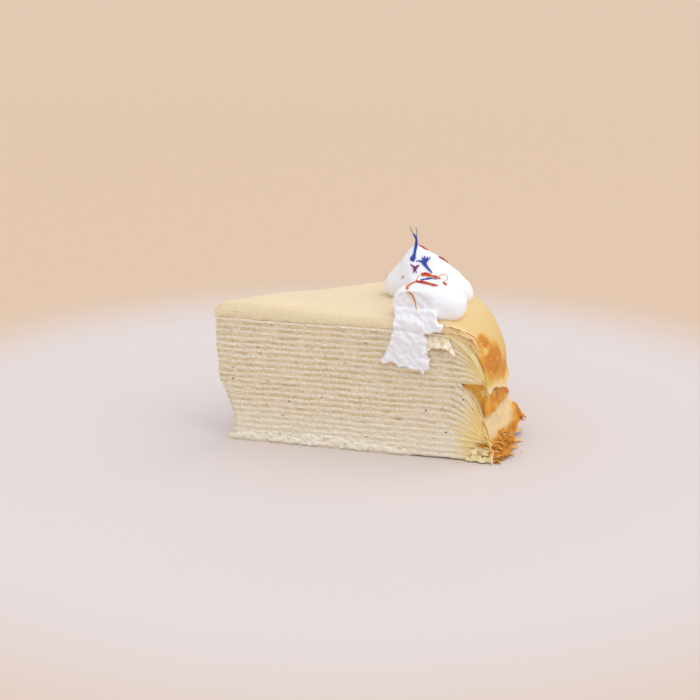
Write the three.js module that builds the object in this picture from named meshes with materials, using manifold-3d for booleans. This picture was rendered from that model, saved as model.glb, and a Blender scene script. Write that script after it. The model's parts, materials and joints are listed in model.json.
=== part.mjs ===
// A slice of mille crepe cake: a stack of thin crepes with pastry cream between them, cut as one
// eighth of a round cake. A thick top crepe folds over the rim, two more crepe edges hang down
// the outside, and two dollops of whipped cream with edible petals stand on top, the nearer one
// cut off and smeared down the front cut face. Millimetres, +Z up, the tip towards -X and the
// rounded rim towards +X. The origin lies on the underside, on the centre line, half way from
// the tip to the rim.
import * as THREE from "three";
import { ConvexGeometry } from "three/addons/geometries/ConvexGeometry.js";
import { mergeVertices } from "three/addons/utils/BufferGeometryUtils.js";
import Module from "manifold-3d";

const wasm = await Module();
wasm.setup();

// ---- Driving dimensions -------------------------------------------------------------------
const CAKE_RADIUS = 112; // tip to rim at the plate, along a cut face
const SLICES = 8; // slices in the whole cake
const HALF_ANGLE = Math.PI / SLICES;
const STACK_HEIGHT = 52; // plate to the underside of the top crepe
const TOP_THICKNESS = 5.3; // the folded top crepe with its custard skin
const CREPES = 21; // crepes under the top one
const PAIR = STACK_HEIGHT / CREPES; // one crepe and the cream on it
const CREPE_SHARE = 0.39; // of a pair's height, where the layers lie flat
const SEAM = 0.12; // air between neighbouring layers
const BULGE = 8; // how much further the rim stands out in the middle of the slice
const BULGE_START = 80; // radius where that begins
const TOP_Z = STACK_HEIGHT + TOP_THICKNESS;
const TIP_X = -CAKE_RADIUS / 2;

// The layers split into two bundles near the rim, with a pocket between them.
const LOWER_CREPES = 13; // crepes in the lower bundle
const LOWER = { first: 92, last: 101, rim: 114.2, pinch: 9 };
const UPPER = { first: 100, last: 93, rim: 112, pinch: 34 };
// Rows of a layer, as shares of the way from where it starts to droop to the pinch.
const CREAM_ROWS = [0, 0.28, 0.52, 0.74];
const CREPE_ROWS = [...CREAM_ROWS, 0.86];
const POCKET_RADIUS = 101; // the cream between the bundles ends here

// ---- Small helpers ------------------------------------------------------------------------
const clamp = (v, low, high) => Math.min(high, Math.max(low, v));
const mix = (a, b, t) => a + (b - a) * t;
const steps = (count) => Array.from({ length: count + 1 }, (_, i) => i / count); // 0 to 1

function seeded(seed) {
  let state = seed >>> 0;
  return () => {
    state = (state + 0x6d2b79f5) >>> 0;
    let t = state;
    t = Math.imul(t ^ (t >>> 15), t | 1);
    t ^= t + Math.imul(t ^ (t >>> 7), t | 61);
    return ((t ^ (t >>> 14)) >>> 0) / 4294967296;
  };
}

// Slice coordinates to a point: r from the tip, u from -1 at the front cut face to 1 at the
// back one, z up, and out, how far a cut face stands proud.
function place(r, u, z, out = 0) {
  const swell = BULGE * (1 - u * u) * clamp((r - BULGE_START) / (LOWER.rim - BULGE_START), 0, 1.2);
  const angle = u * HALF_ANGLE;
  const side = Math.abs(u) === 1 ? Math.sign(u) : 0;
  const x = (r + swell) * Math.cos(angle) - out * Math.abs(side) * Math.sin(HALF_ANGLE);
  const y = (r + swell) * Math.sin(angle) + out * side * Math.cos(HALF_ANGLE);
  return new THREE.Vector3(TIP_X + x, y, z);
}

function geometryOf(points, triangles) {
  const geometry = new THREE.BufferGeometry();
  const numbers = points.flatMap((point) => point.toArray());
  geometry.setAttribute("position", new THREE.Float32BufferAttribute(numbers, 3));
  geometry.setIndex(triangles);
  geometry.computeVertexNormals();
  return geometry;
}

// A closed body from two facing grids of points, outer[column][row] and inner[column][row].
// Seen from outside, columns run anticlockwise round the slice and rows run out and down.
function bodyBetween(outer, inner) {
  const columns = outer.length;
  const rows = outer[0].length;
  const points = [...outer.flat(), ...inner.flat()];
  const at = (layer, column, row) => layer * columns * rows + column * rows + row;
  const triangles = [];
  const quad = (a, b, c, d) => triangles.push(a, b, c, a, c, d);
  for (let c = 0; c + 1 < columns; c++)
    for (let r = 0; r + 1 < rows; r++) {
      quad(at(0, c, r), at(0, c, r + 1), at(0, c + 1, r + 1), at(0, c + 1, r));
      quad(at(1, c, r), at(1, c + 1, r), at(1, c + 1, r + 1), at(1, c, r + 1));
    }
  const [lastColumn, lastRow] = [columns - 1, rows - 1];
  for (let r = 0; r < lastRow; r++) {
    quad(at(0, 0, r), at(1, 0, r), at(1, 0, r + 1), at(0, 0, r + 1));
    quad(at(0, lastColumn, r), at(0, lastColumn, r + 1), at(1, lastColumn, r + 1), at(1, lastColumn, r));
  }
  for (let c = 0; c < lastColumn; c++) {
    quad(at(0, c, 0), at(0, c + 1, 0), at(1, c + 1, 0), at(1, c, 0));
    quad(at(0, c, lastRow), at(1, c, lastRow), at(1, c + 1, lastRow), at(0, c + 1, lastRow));
  }
  return geometryOf(points, triangles);
}

function solidOf(geometry) {
  const bare = geometry.index ? geometry.toNonIndexed() : geometry.clone();
  bare.deleteAttribute("normal");
  bare.deleteAttribute("uv");
  const merged = mergeVertices(bare, 1e-3);
  return new wasm.Manifold(
    new wasm.Mesh({
      numProp: 3,
      vertProperties: merged.attributes.position.array,
      triVerts: new Uint32Array(merged.index.array),
    }),
  );
}

function geometryFrom(solid) {
  const mesh = solid.getMesh();
  const geometry = new THREE.BufferGeometry();
  geometry.setAttribute("position", new THREE.BufferAttribute(new Float32Array(mesh.vertProperties), 3));
  geometry.setIndex(new THREE.BufferAttribute(mesh.triVerts, 1));
  geometry.computeVertexNormals();
  return geometry;
}

const joined = (a, b) => geometryFrom(solidOf(a).add(solidOf(b)));

const finish = (color, roughness) => new THREE.MeshStandardMaterial({ color, roughness, metalness: 0 });
const CREPE_FINISH = finish(0xdcc598, 0.75);
const CREAM_FINISH = finish(0xe8dcc6, 0.7);
const TOP_FINISH = finish(0xf0d9a6, 0.5);
const SIDE_FINISH = finish(0xdfa654, 0.6);
const WHIPPED_FINISH = finish(0xf4f2f3, 0.6);

const cake = new THREE.Group();

function addNode(name, geometry, material) {
  const mesh = new THREE.Mesh(geometry, material);
  mesh.name = name;
  cake.add(mesh);
}

// ---- The stack of crepes and cream --------------------------------------------------------
const SPLIT = (LOWER_CREPES - 1 + CREPE_SHARE) * PAIR; // top of the lower bundle

// Where a layer of nominal height h starts to droop, and the point that it droops towards.
function droopOf(h) {
  if (h <= SPLIT + SEAM) {
    const rise = (h / SPLIT) ** 3;
    return { start: mix(LOWER.first, LOWER.last, rise), rim: LOWER.rim, pinch: LOWER.pinch };
  }
  const rise = (h - SPLIT) / (STACK_HEIGHT - SPLIT);
  return { start: mix(UPPER.first, UPPER.last, rise), rim: UPPER.rim, pinch: UPPER.pinch };
}

// Height at radius r of the layer surface that lies at h in the middle of the cake.
function surface(h, r) {
  const { start, rim, pinch } = droopOf(h);
  const s = clamp((r - start) / (rim - start), 0, 1);
  return h - Math.max(0, h - pinch) * s * s;
}

// The tip of the lower layers is set back, so that the upper half of the stack overhangs it.
const TIP_STEPS = [
  [0, 6.8],
  [8, 7.6],
  [14, 6.6],
  [19, 4.4],
  [25, 2.3],
  [31, 1.8],
  [37, 1.3],
  [STACK_HEIGHT, 1.3],
];
const FOOT_TIP = 4.8; // the lowest crepe reaches further towards the tip

function tipRadius(h) {
  const next = Math.max(1, TIP_STEPS.findIndex(([height]) => height >= h));
  const [[h0, r0], [h1, r1]] = [TIP_STEPS[next - 1], TIP_STEPS[next]];
  return mix(r0, r1, (h - h0) / (h1 - h0));
}

const STACK_COLUMNS = [-1, -0.5, 0, 0.5, 1];
const FACE_ROUGHNESS = 0.35; // how far cream and crepe edges stand out of the cut faces
const TIP_ROUGHNESS = 0.3;
const layerRandom = seeded(7);
const uneven = (size) => size * mix(-1, 1, layerRandom());

// Radii of the rows of the face at height h, the same for the layers above and below it.
function rowsAt(h, tip, shares, limit = Infinity) {
  const { start, rim } = droopOf(h);
  const rows = shares.map((s) => mix(start, rim, s)).filter((r) => r <= limit);
  return [tip, ...(rows.length > 1 ? rows : [limit])];
}

// One crepe or cream layer from nominal height low to high, with rows at the given shares.
function layer(low, high, tip, shares, limit) {
  const proud = { "-1": uneven(FACE_ROUGHNESS), 1: uneven(FACE_ROUGHNESS) };
  const grid = (h, shift) => {
    const radii = rowsAt(h, tip, shares, limit);
    return STACK_COLUMNS.map((u) =>
      radii.map((r, i) => place(r, u, surface(h + shift, r), i < 2 ? (proud[u] ?? 0) : 0)),
    );
  };
  return bodyBetween(grid(high, -SEAM / 2), grid(low, low > 0 ? SEAM / 2 : 0));
}

// The uppermost crepe is torn: a flap of it curls down in front of the front cut face.
const FACE_NORMAL = new THREE.Vector3(-Math.sin(HALF_ANGLE), -Math.cos(HALF_ANGLE), 0);

// Face coordinates to a point: r along the front cut face, z up, out away from the face.
const onFace = (r, z, out) => place(r, -1, z).addScaledVector(FACE_NORMAL, out);

const FLAP = { root: [89.6, 96.6], foot: [91, 99.6], thickness: 0.5, sunk: 0.16, columns: 6 };

function tornFlap(crepeHeight) {
  const column = (side, t) => {
    const root = mix(...FLAP.root, t);
    const foot = mix(...FLAP.foot, t);
    const top = surface(crepeHeight, root) - FLAP.sunk;
    const drop = 4.4 + 1.2 * t - 2.4 * Math.sin(Math.PI * t);
    // [share of the way to the foot, out, down, how far the sheet has turned to hang]
    const rows = [
      [0, -1.4, 0, 0],
      [0, 0.5, 0, 0.5],
      [0.4, 1, drop * 0.3, 0.9],
      [0.75, 1.5, drop * 0.65, 1],
      [1, 2.2 + t, drop, 0.8],
    ];
    return rows.map(([along, out, down, turned]) => {
      const angle = (turned * Math.PI) / 2;
      const offset = (side * FLAP.thickness) / 2;
      const z = top - down + offset * Math.cos(angle);
      return onFace(mix(root, foot, along), z, out + offset * Math.sin(angle));
    });
  };
  const grid = (side) => steps(FLAP.columns).map((t) => column(side, t));
  return bodyBetween(grid(1), grid(-1));
}

for (let k = 0; k < CREPES; k++) {
  const label = String(k + 1).padStart(2, "0");
  const low = k * PAIR;
  const seam = low + PAIR * CREPE_SHARE;
  const high = low + PAIR;
  const crepeTip = k === 0 ? FOOT_TIP : tipRadius(low) + uneven(TIP_ROUGHNESS);
  const creamTip = tipRadius(seam) + uneven(TIP_ROUGHNESS);
  const limit = k === LOWER_CREPES - 1 ? POCKET_RADIUS : Infinity;
  const whole = layer(low, seam, crepeTip, CREPE_ROWS);
  const crepe = k === CREPES - 1 ? joined(whole, tornFlap((low + seam) / 2)) : whole;
  addNode(`crepe_${label}`, crepe, CREPE_FINISH);
  addNode(`cream_${label}`, layer(seam, high, creamTip, CREAM_ROWS, limit), CREAM_FINISH);
}

// ---- The top crepe, folded over the rim ---------------------------------------------------
// Columns across the top, each at an angle u and some way in from its cut face, and how far the
// top is rounded down there.
const TOP_EDGE = [
  { inset: 0, drop: 2.2 },
  { inset: 0.8, drop: 0.9 },
  { inset: 2.4, drop: 0.15 },
];
const CROWN = 0.8; // how far the middle of the top stands over its edges
const TOP_INNER = [-0.7, -0.45, -0.2, 0, 0.2, 0.45, 0.7];
const TOP_COLUMNS = [
  ...TOP_EDGE.map((edge) => ({ u: -1, ...edge })),
  ...TOP_INNER.map((u) => ({ u, inset: 0, drop: -CROWN * (1 - u * u) })),
  ...TOP_EDGE.map((edge) => ({ u: 1, ...edge })).reverse(),
];
const SHOULDER = { atFace: 91, atMiddle: 98, rim: 112.4, low: 32 }; // an ellipse in section
const SHOULDER_STEPS = 8;
const TOP_GAP = 0.3; // between the top crepe and what touches it
const TOP_PROUD = 0.25; // how far its cut edge stands out of the cut faces
const DRAPE_THICKNESS = 0.95;
const TOP_HEM = 26;

// Outer and inner profile of the top crepe, as [r, z] pairs from the tip to the hem, with the
// outer one raised by grow.
function topProfile({ u, drop }, grow = 0) {
  const flatRows = [
    [1.2, 2.8],
    [4, 1.1 + drop * 0.5],
    [10, 0.2 + drop],
    [50, drop],
  ];
  const outer = flatRows.map(([r, down]) => [r, TOP_Z - down]);
  const underside = STACK_HEIGHT + TOP_GAP;
  const inner = flatRows.map(([r]) => [r, underside]);
  const shoulder = mix(SHOULDER.atMiddle, SHOULDER.atFace, u * u);
  const reach = SHOULDER.rim - shoulder;
  for (const t of steps(SHOULDER_STEPS)) {
    const [out, up] = [Math.sin((t * Math.PI) / 2), Math.cos((t * Math.PI) / 2)];
    outer.push([shoulder + reach * out, mix(SHOULDER.low, TOP_Z - drop, up)]);
    inner.push([shoulder + (reach - DRAPE_THICKNESS) * out, mix(SHOULDER.low, underside, up)]);
  }
  const hem = TOP_HEM + 1.6 * Math.sin(5.1 * u + 0.6) + 0.9 * Math.sin(13 * u);
  const flare = 1.3 + 0.4 * Math.sin(9 * u);
  for (const t of [0.5, 1]) {
    const [r, z] = [SHOULDER.rim + flare * t, mix(SHOULDER.low, hem, t)];
    outer.push([r, z]);
    inner.push([r - DRAPE_THICKNESS, z]);
  }
  return { outer: outer.map(([r, z]) => [r, z + grow]), inner };
}

// A grid point of the top crepe, set in from its cut face but never past the middle.
function topPlace(column, r, z, out) {
  const inset = Math.min(column.inset, 0.45 * r * Math.sin(HALF_ANGLE));
  return place(r, column.u, z, out - inset);
}

const topGrid = (side) =>
  TOP_COLUMNS.map((column) => topProfile(column)[side].map(([r, z]) => topPlace(column, r, z, TOP_PROUD)));
addNode("top_crepe", bodyBetween(topGrid("outer"), topGrid("inner")), TOP_FINISH);

// ---- The two lower crepe edges that hang down the outside ---------------------------------
// A line of [r, z] pairs moved outwards, away from the cake.
function movedOut(line, distance) {
  return line.map(([r, z], i) => {
    const [r0, z0] = line[Math.max(0, i - 1)];
    const [r1, z1] = line[Math.min(line.length - 1, i + 1)];
    const length = Math.hypot(r1 - r0, z1 - z0);
    return [r - ((z1 - z0) / length) * distance, z + ((r1 - r0) / length) * distance];
  });
}

// A hanging sheet with its inner face along the line that path gives at each u.
function hangingSheet(columns, path, thickness) {
  const grid = (distance) =>
    columns.map((u) => movedOut(path(u), distance).map(([r, z]) => place(r, u, Math.max(0, z))));
  return bodyBetween(grid(thickness), grid(0));
}

const spread = (count) => steps(count).map((t) => 2 * t - 1);

const MIDDLE_THICKNESS = 0.7;
const MIDDLE_TOP = 31.4;
function middlePath(u) {
  const hem = 19.5 + 2.2 * Math.sin(3.4 * u + 1.9) + 0.8 * Math.sin(17 * u);
  return [
    [109.8, MIDDLE_TOP],
    [110.1, mix(MIDDLE_TOP, hem, 0.25)],
    [110.7, mix(MIDDLE_TOP, hem, 0.5)],
    [111.5, mix(MIDDLE_TOP, hem, 0.78)],
    [112.7, hem],
  ];
}
addNode("middle_crepe_edge", hangingSheet(spread(20), middlePath, MIDDLE_THICKNESS), SIDE_FINISH);

const LOWER_THICKNESS = 0.6;
const LOWER_GAP = 0.3;
const HEM_COLUMNS = 44;
const FLAKE = { u: -0.31, spread: 0.09, out: 4.6 }; // a big flake that stands out over the hem
const hemRandom = seeded(23);
const hemTeeth = spread(HEM_COLUMNS).map(() => hemRandom());
function lowerPath(u) {
  const tooth = hemTeeth[Math.round(((u + 1) / 2) * HEM_COLUMNS)];
  const ripple = 0.9 * Math.sin(21 * u) + 0.5 * Math.sin(47 * u + 1);
  const flake = FLAKE.out * Math.exp(-(((u - FLAKE.u) / FLAKE.spread) ** 2));
  const onBundle = rowsAt(SPLIT, 0, CREPE_ROWS)
    .slice(2)
    .map((r) => [r, surface(SPLIT, r)]);
  return [
    ...movedOut(onBundle, LOWER_GAP),
    [114.3 + 0.2 * ripple + 0.7 * flake, 11],
    [115.4 + 0.6 * ripple + flake, 7.4],
    [117 + 0.9 * ripple + tooth + 0.6 * flake, 4],
    [118 + 1.2 * ripple + 3.4 * tooth, 0.8 + 2.6 * (1 - tooth)],
  ];
}
addNode("lower_crepe_edge", hangingSheet(spread(HEM_COLUMNS), lowerPath, LOWER_THICKNESS), SIDE_FINISH);

// ---- Whipped cream: two dollops, the nearer one cut off at the front face, with its smear ----
// Each dollop is the hull of balls: [x from the tip, y, height over the top, radius].
const FAR_DOLLOP = [
  [75.8, 1, 5.4, 5.6],
  [98.3, -8.5, 3.6, 7],
  [97.5, 1.5, 3.8, 6.6],
  [90, 6, 4, 7],
  [81, 7, 4, 5.6],
  [84, -9, 5, 6.5],
  [88, -3.5, 13, 6.2],
  [81.5, -3, 14.5, 5.2],
  [82.2, -3.5, 22.4, 0.8],
];
const NEAR_DOLLOP = [
  [76.2, -27.4, 4.9, 7.2],
  [91, -29.2, 4.4, 7.4],
  [83.5, -27.6, 7, 7.2],
  [88, -20, 4.5, 7.2],
];
const BALL_DETAIL = 2;

function dollop(balls) {
  const points = balls.flatMap(([x, y, height, radius]) => {
    const ball = new THREE.IcosahedronGeometry(radius, radius < 1 ? 0 : BALL_DETAIL);
    ball.translate(TIP_X + x, y, TOP_Z + height);
    const position = ball.getAttribute("position");
    return Array.from({ length: position.count }, (_, i) =>
      new THREE.Vector3().fromBufferAttribute(position, i),
    );
  });
  return solidOf(new ConvexGeometry(points));
}

// Everything under the top crepe's surface, grown by a small gap.
function underTop() {
  const floor = 2;
  const proud = TOP_PROUD + TOP_GAP;
  const grid = (heightOf) =>
    TOP_COLUMNS.map((column) =>
      topProfile(column, TOP_GAP).outer.map(([r, z]) => topPlace(column, r, heightOf(z), proud)),
    );
  return solidOf(
    bodyBetween(
      grid((z) => z),
      grid(() => floor),
    ),
  );
}

// A block in front of the front cut face, from distance out outwards.
function beyondFace(out) {
  const size = 90;
  const block = new THREE.BoxGeometry(4 * size, size, 2 * size);
  block.translate(0, -size / 2, 0);
  block.rotateZ(-HALF_ANGLE);
  const at = onFace(0, 0, out);
  block.translate(at.x, at.y, at.z);
  return solidOf(block);
}

const CUT_OUT = 1.3; // the cut dollop stands this far out of the front face
const SMEAR = { thickness: 1.9, bevel: 0.5, out: 0.65 };
// Outline of the smear on the front cut face, as [r, z] from its top left round its ragged foot.
const SMEAR_OUTLINE = [
  [76, 61],
  [75.7, 55.1],
  [74.6, 48.5],
  [72.2, 43],
  [70.6, 38.8],
  [72.4, 38.4],
  [74.3, 40.1],
  [77.9, 37.7],
  [82, 37.2],
  [86.2, 36.8],
  [87.6, 35.2],
  [90.4, 38.3],
  [89.1, 44],
  [89, 48.8],
  [87.2, 51.6],
  [92, 52.8],
  [94.8, 53.3],
  [95.2, 55],
  [92.8, 56.8],
  [92, 61],
];

function smear() {
  const outline = new THREE.Shape(SMEAR_OUTLINE.map(([r, z]) => new THREE.Vector2(r, z)));
  const slab = new THREE.ExtrudeGeometry(outline, {
    depth: SMEAR.thickness,
    bevelThickness: SMEAR.bevel,
    bevelSize: SMEAR.bevel,
    bevelOffset: -SMEAR.bevel,
    bevelSegments: 1,
  });
  slab.rotateX(Math.PI / 2);
  slab.rotateZ(-HALF_ANGLE);
  const at = onFace(0, 0, SMEAR.out + SMEAR.bevel);
  slab.translate(at.x, at.y, at.z);
  return solidOf(slab);
}

// Petals and saffron threads: paths of [x from the tip, y, height over the top], the way that
// their flat side faces, and their width.
const ON_FAR = [0, -0.8, 0.6];
const ON_RIDGE = [0.4, -0.3, 0.87];
const ON_NEAR = [0, -0.35, 0.94];
const DOWN_THE_CUT = [-0.4, -0.7, 0.6];
const UPRIGHT = [[81.2, -5.7, 18.4], [81.8, -4.7, 21.6], [82.5, -4.2, 26], [80.9, -4, 28.6]];
const THREAD = [[79.5, -26.6, 13], [74.6, -28.6, 11.2], [75.5, -32.7, 9], [77.6, -33.5, 4]];
const PETALS = [
  { path: UPRIGHT, facing: ON_FAR, width: 1.6 },
  { path: [[81.9, -8.1, 16.9], [84.9, -8.4, 16.7], [87.7, -11.2, 12.7]], facing: ON_FAR, width: 1.3 },
  { path: [[84.9, -8.4, 16.7], [84.6, -7.3, 18.6]], facing: ON_FAR, width: 1.3 },
  { path: [[84.9, -8.4, 16.7], [87.4, -6.9, 18.5]], facing: ON_FAR, width: 1.2 },
  { path: [[80, -8.2, 15.5], [81, -9.4, 14.1], [80.9, -10.5, 12.8]], facing: ON_FAR, width: 1.3 },
  { path: [[81, -9.4, 14.1], [82.7, -9.2, 15.7]], facing: ON_FAR, width: 1.2 },
  { path: [[83.5, -11.7, 12.1], [87.2, -11.8, 11.8], [90.7, -12.5, 10.5]], facing: ON_FAR, width: 2.2 },
  { path: [[80.4, -25.8, 13.2], [84, -24.5, 13.9], [87.6, -22, 12.6]], facing: ON_NEAR, width: 1.4 },
  { path: [[78.6, -27.4, 12.5], [81.2, -29.7, 13.1], [84.6, -31.8, 12.4]], facing: ON_NEAR, width: 2 },
  { path: THREAD, facing: DOWN_THE_CUT, width: 1 },
  { path: [[88.4, -28, 12.8], [89.8, -31, 12.2]], facing: ON_NEAR, width: 1.8 },
  { path: [[83.5, -3.5, 21.4], [86.3, -3.7, 20]], facing: ON_RIDGE, width: 1.2 },
  { path: [[91.5, -5, 17.3], [94.9, -5.6, 15]], facing: ON_RIDGE, width: 1.2 },
];
const PETAL = { proud: 0.35, sunk: 0.6, endShare: 0.45 };

function petal({ path, facing, width }) {
  const points = path.map(([x, y, height]) => new THREE.Vector3(TIP_X + x, y, TOP_Z + height));
  const last = points.length - 1;
  const face = new THREE.Vector3(...facing).normalize();
  const section = (i, depth) => {
    const along = points[Math.min(last, i + 1)].clone().sub(points[Math.max(0, i - 1)]);
    const side = new THREE.Vector3().crossVectors(along, face).normalize();
    const half = (width / 2) * (i > 0 && i < last ? 1 : PETAL.endShare);
    const middle = points[i].clone().addScaledVector(face, depth);
    return [-half, half].map((reach) => middle.clone().addScaledVector(side, reach));
  };
  const grid = (depth) => points.map((_, i) => section(i, depth));
  return solidOf(bodyBetween(grid(PETAL.proud), grid(-PETAL.sunk)));
}

const topping = PETALS.reduce(
  (whole, spec) => whole.add(petal(spec)),
  dollop(FAR_DOLLOP)
    .add(dollop(NEAR_DOLLOP))
    .subtract(underTop())
    .subtract(beyondFace(CUT_OUT))
    .add(smear()),
);
addNode("whipped_cream", geometryFrom(topping), WHIPPED_FINISH);

export default cake;
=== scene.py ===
"""Dresses a slice of mille crepe cake: its crepes and pastry cream, the top crepe folded over the
rim, the browned crepe edges, two dollops of whipped cream with petals, and the crumbs round it."""

import json
import math

import bpy
import numpy as np
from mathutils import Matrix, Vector, noise
from mathutils.bvhtree import BVHTree

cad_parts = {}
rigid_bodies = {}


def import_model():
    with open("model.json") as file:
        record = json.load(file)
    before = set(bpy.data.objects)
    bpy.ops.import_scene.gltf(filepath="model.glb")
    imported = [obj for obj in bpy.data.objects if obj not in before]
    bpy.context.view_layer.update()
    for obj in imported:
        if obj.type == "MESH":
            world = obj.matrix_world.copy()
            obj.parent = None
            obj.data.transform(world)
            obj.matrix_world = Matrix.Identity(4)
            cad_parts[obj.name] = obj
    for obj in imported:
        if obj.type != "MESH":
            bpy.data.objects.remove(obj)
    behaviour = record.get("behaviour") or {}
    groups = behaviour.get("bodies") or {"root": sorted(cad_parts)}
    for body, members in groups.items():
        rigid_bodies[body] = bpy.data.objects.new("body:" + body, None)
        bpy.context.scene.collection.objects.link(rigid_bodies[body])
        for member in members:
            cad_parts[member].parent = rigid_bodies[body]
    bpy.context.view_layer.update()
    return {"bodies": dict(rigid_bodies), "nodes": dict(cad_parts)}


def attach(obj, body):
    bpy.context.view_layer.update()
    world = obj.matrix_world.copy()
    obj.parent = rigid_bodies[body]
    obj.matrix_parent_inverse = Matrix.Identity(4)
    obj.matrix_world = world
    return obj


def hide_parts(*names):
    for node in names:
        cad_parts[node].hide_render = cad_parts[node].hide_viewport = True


bl_info = {
    "name": "Crepe cake slice",
    "version": (1, 0, 0),
    "blender": (4, 5, 0),
    "location": "3D View > Sidebar > Crepe cake",
    "description": "Models the layers, folded crepes, whipped cream and petals of a crepe cake slice",
    "category": "Object",
}

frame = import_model()
BODY = next(iter(frame["bodies"]))

# ---- Sizes of the slice, in millimetres, as its solids have them --------------------------------
MM = 0.001
CAKE_RADIUS = 112.0
SLICES = 8
HALF_ANGLE = math.pi / SLICES
STACK_HEIGHT = 52.0
TOP_THICKNESS = 5.3
TOP_Z = STACK_HEIGHT + TOP_THICKNESS
CREPES = sum(name.startswith("crepe_") for name in frame["nodes"])
PAIR = STACK_HEIGHT / CREPES
CREPE_SHARE = 0.39
SEAM = 0.12
BULGE = 8.0
BULGE_START = 80.0
RIM_RADIUS = 114.2
TIP_X = -CAKE_RADIUS / 2
LOWER_CREPES = 13
SPLIT = (LOWER_CREPES - 1 + CREPE_SHARE) * PAIR
LOWER = {"first": 92.0, "last": 101.0, "rim": 114.2, "pinch": 9.0}
UPPER = {"first": 100.0, "last": 93.0, "rim": 112.0, "pinch": 34.0}
FRONT, BACK = -1, 1  # the two cut faces
SIDES = {FRONT: 0, BACK: -1}  # and the column of a body that lies in each


# ---- Arithmetic ---------------------------------------------------------------------------------
def mix(a, b, t):
    return a + (b - a) * t


def ramp(low, high, v):
    """0 below low and 1 above high, with a smooth rise between them."""
    t = np.clip((v - low) / (high - low), 0, 1)
    return t * t * (3 - 2 * t)


def grain(x, y=0.0, z=0.0):
    """Smooth noise from about -1 to 1 at each place, whose bumps are one unit across."""
    x, y, z = np.broadcast_arrays(x, y, z)
    spots = zip(x.ravel().tolist(), y.ravel().tolist(), z.ravel().tolist())
    return np.array([noise.noise(spot) for spot in spots]).reshape(x.shape)


def grain_at(points, across, tall=None):
    """Grain at each point, with bumps of that size across, and that tall if it is given."""
    return grain(points[..., 0] / across, points[..., 1] / across, points[..., 2] / (tall or across))


def spline(points, count):
    """count points on a smooth curve through points, which may be whole rows of points."""
    points = np.asarray(points, float)
    ends = np.concatenate([[2 * points[0] - points[1]], points, [2 * points[-1] - points[-2]]])
    along = np.linspace(0, len(points) - 1, count)
    start = np.minimum(along.astype(int), len(points) - 2)
    t = (along - start).reshape((-1,) + (1,) * (points.ndim - 1))
    a, b, c, d = (ends[start + i] for i in range(4))
    return 0.5 * (2 * b + (c - a) * t + (2 * a - 5 * b + 4 * c - d) * t**2 + (3 * (b - c) + d - a) * t**3)


def place(r, u, z):
    """Points at r from the tip, u from -1 at the front face to 1 at the back one, and z up."""
    swell = BULGE * (1 - u**2) * np.clip((r - BULGE_START) / (RIM_RADIUS - BULGE_START), 0, 1.2)
    angle = u * HALF_ANGLE
    x = TIP_X + (r + swell) * np.cos(angle)
    return np.stack(np.broadcast_arrays(x, (r + swell) * np.sin(angle), z), axis=-1)


def outwards(u):
    """The direction away from the tip at share u across."""
    return np.stack([np.cos(u * HALF_ANGLE), np.sin(u * HALF_ANGLE), 0 * u], axis=-1)


def face_normal(side):
    return np.array([-math.sin(HALF_ANGLE), side * math.cos(HALF_ANGLE), 0.0])


def on_face(r, z, out, side=FRONT):
    """A point r along a cut face, z up and out away from it."""
    return place(np.asarray(r, float), float(side), z) + np.multiply.outer(out, face_normal(side))


# ---- Making pieces ------------------------------------------------------------------------------
def only(piece=None):
    """Selects that piece alone, or nothing."""
    if bpy.context.object and bpy.context.object.mode != "OBJECT":
        bpy.ops.object.mode_set(mode="OBJECT")
    bpy.ops.object.select_all(action="DESELECT")
    if piece:
        piece.select_set(True)
        bpy.context.view_layer.objects.active = piece


def piece_from(name, points, faces, sharp_angle=70.0):
    """A new piece from points in millimetres and faces."""
    mesh = bpy.data.meshes.new(name)
    mesh.from_pydata((np.asarray(points).reshape(-1, 3) * MM).tolist(), [], faces)
    piece = bpy.data.objects.new(name, mesh)
    bpy.context.collection.objects.link(piece)
    only(piece)
    bpy.ops.object.shade_smooth_by_angle(angle=math.radians(sharp_angle))
    return piece


def ring(under, back, over, front):
    """Loops round a body: along its underside, up its back, over its top and down its front."""
    return np.concatenate([under, back, over[:, ::-1], front[:, ::-1]], axis=1)


def loop_body(loops, columns):
    """Faces of a closed body of such loops of points, with that many columns, one loop a station
    along it."""
    stations, size = loops.shape[:2]
    wall = size // 2 - columns
    at = np.arange(stations * size).reshape(stations, size)
    around = np.roll(at, -1, axis=1)
    sides = np.stack([at[:-1], around[:-1], around[1:], at[1:]], axis=-1).reshape(-1, 4).tolist()
    bottom = at[:, :columns]
    back = at[:, columns : columns + wall]
    top = at[:, columns + wall : 2 * columns + wall][:, ::-1]
    front = at[:, 2 * columns + wall :]
    ends = []
    for station, turn in ((0, 1), (-1, -1)):
        b, t = bottom[station], top[station]
        caps = np.stack([b[:-1], t[:-1], t[1:], b[1:]], axis=-1).tolist()
        caps.append([t[0], b[0], *front[station][::-1]])
        caps.append([b[-1], t[-1], *back[station][::-1]])
        ends += [cap[::turn] for cap in caps]
    return sides + ends


def grid_faces(rows, columns, start=0):
    """Faces of an open grid whose rows run along its second direction."""
    at = start + np.arange(rows * columns).reshape(rows, columns)
    return np.stack([at[:-1, :-1], at[1:, :-1], at[1:, 1:], at[:-1, 1:]], axis=-1).reshape(-1, 4).tolist()


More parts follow.
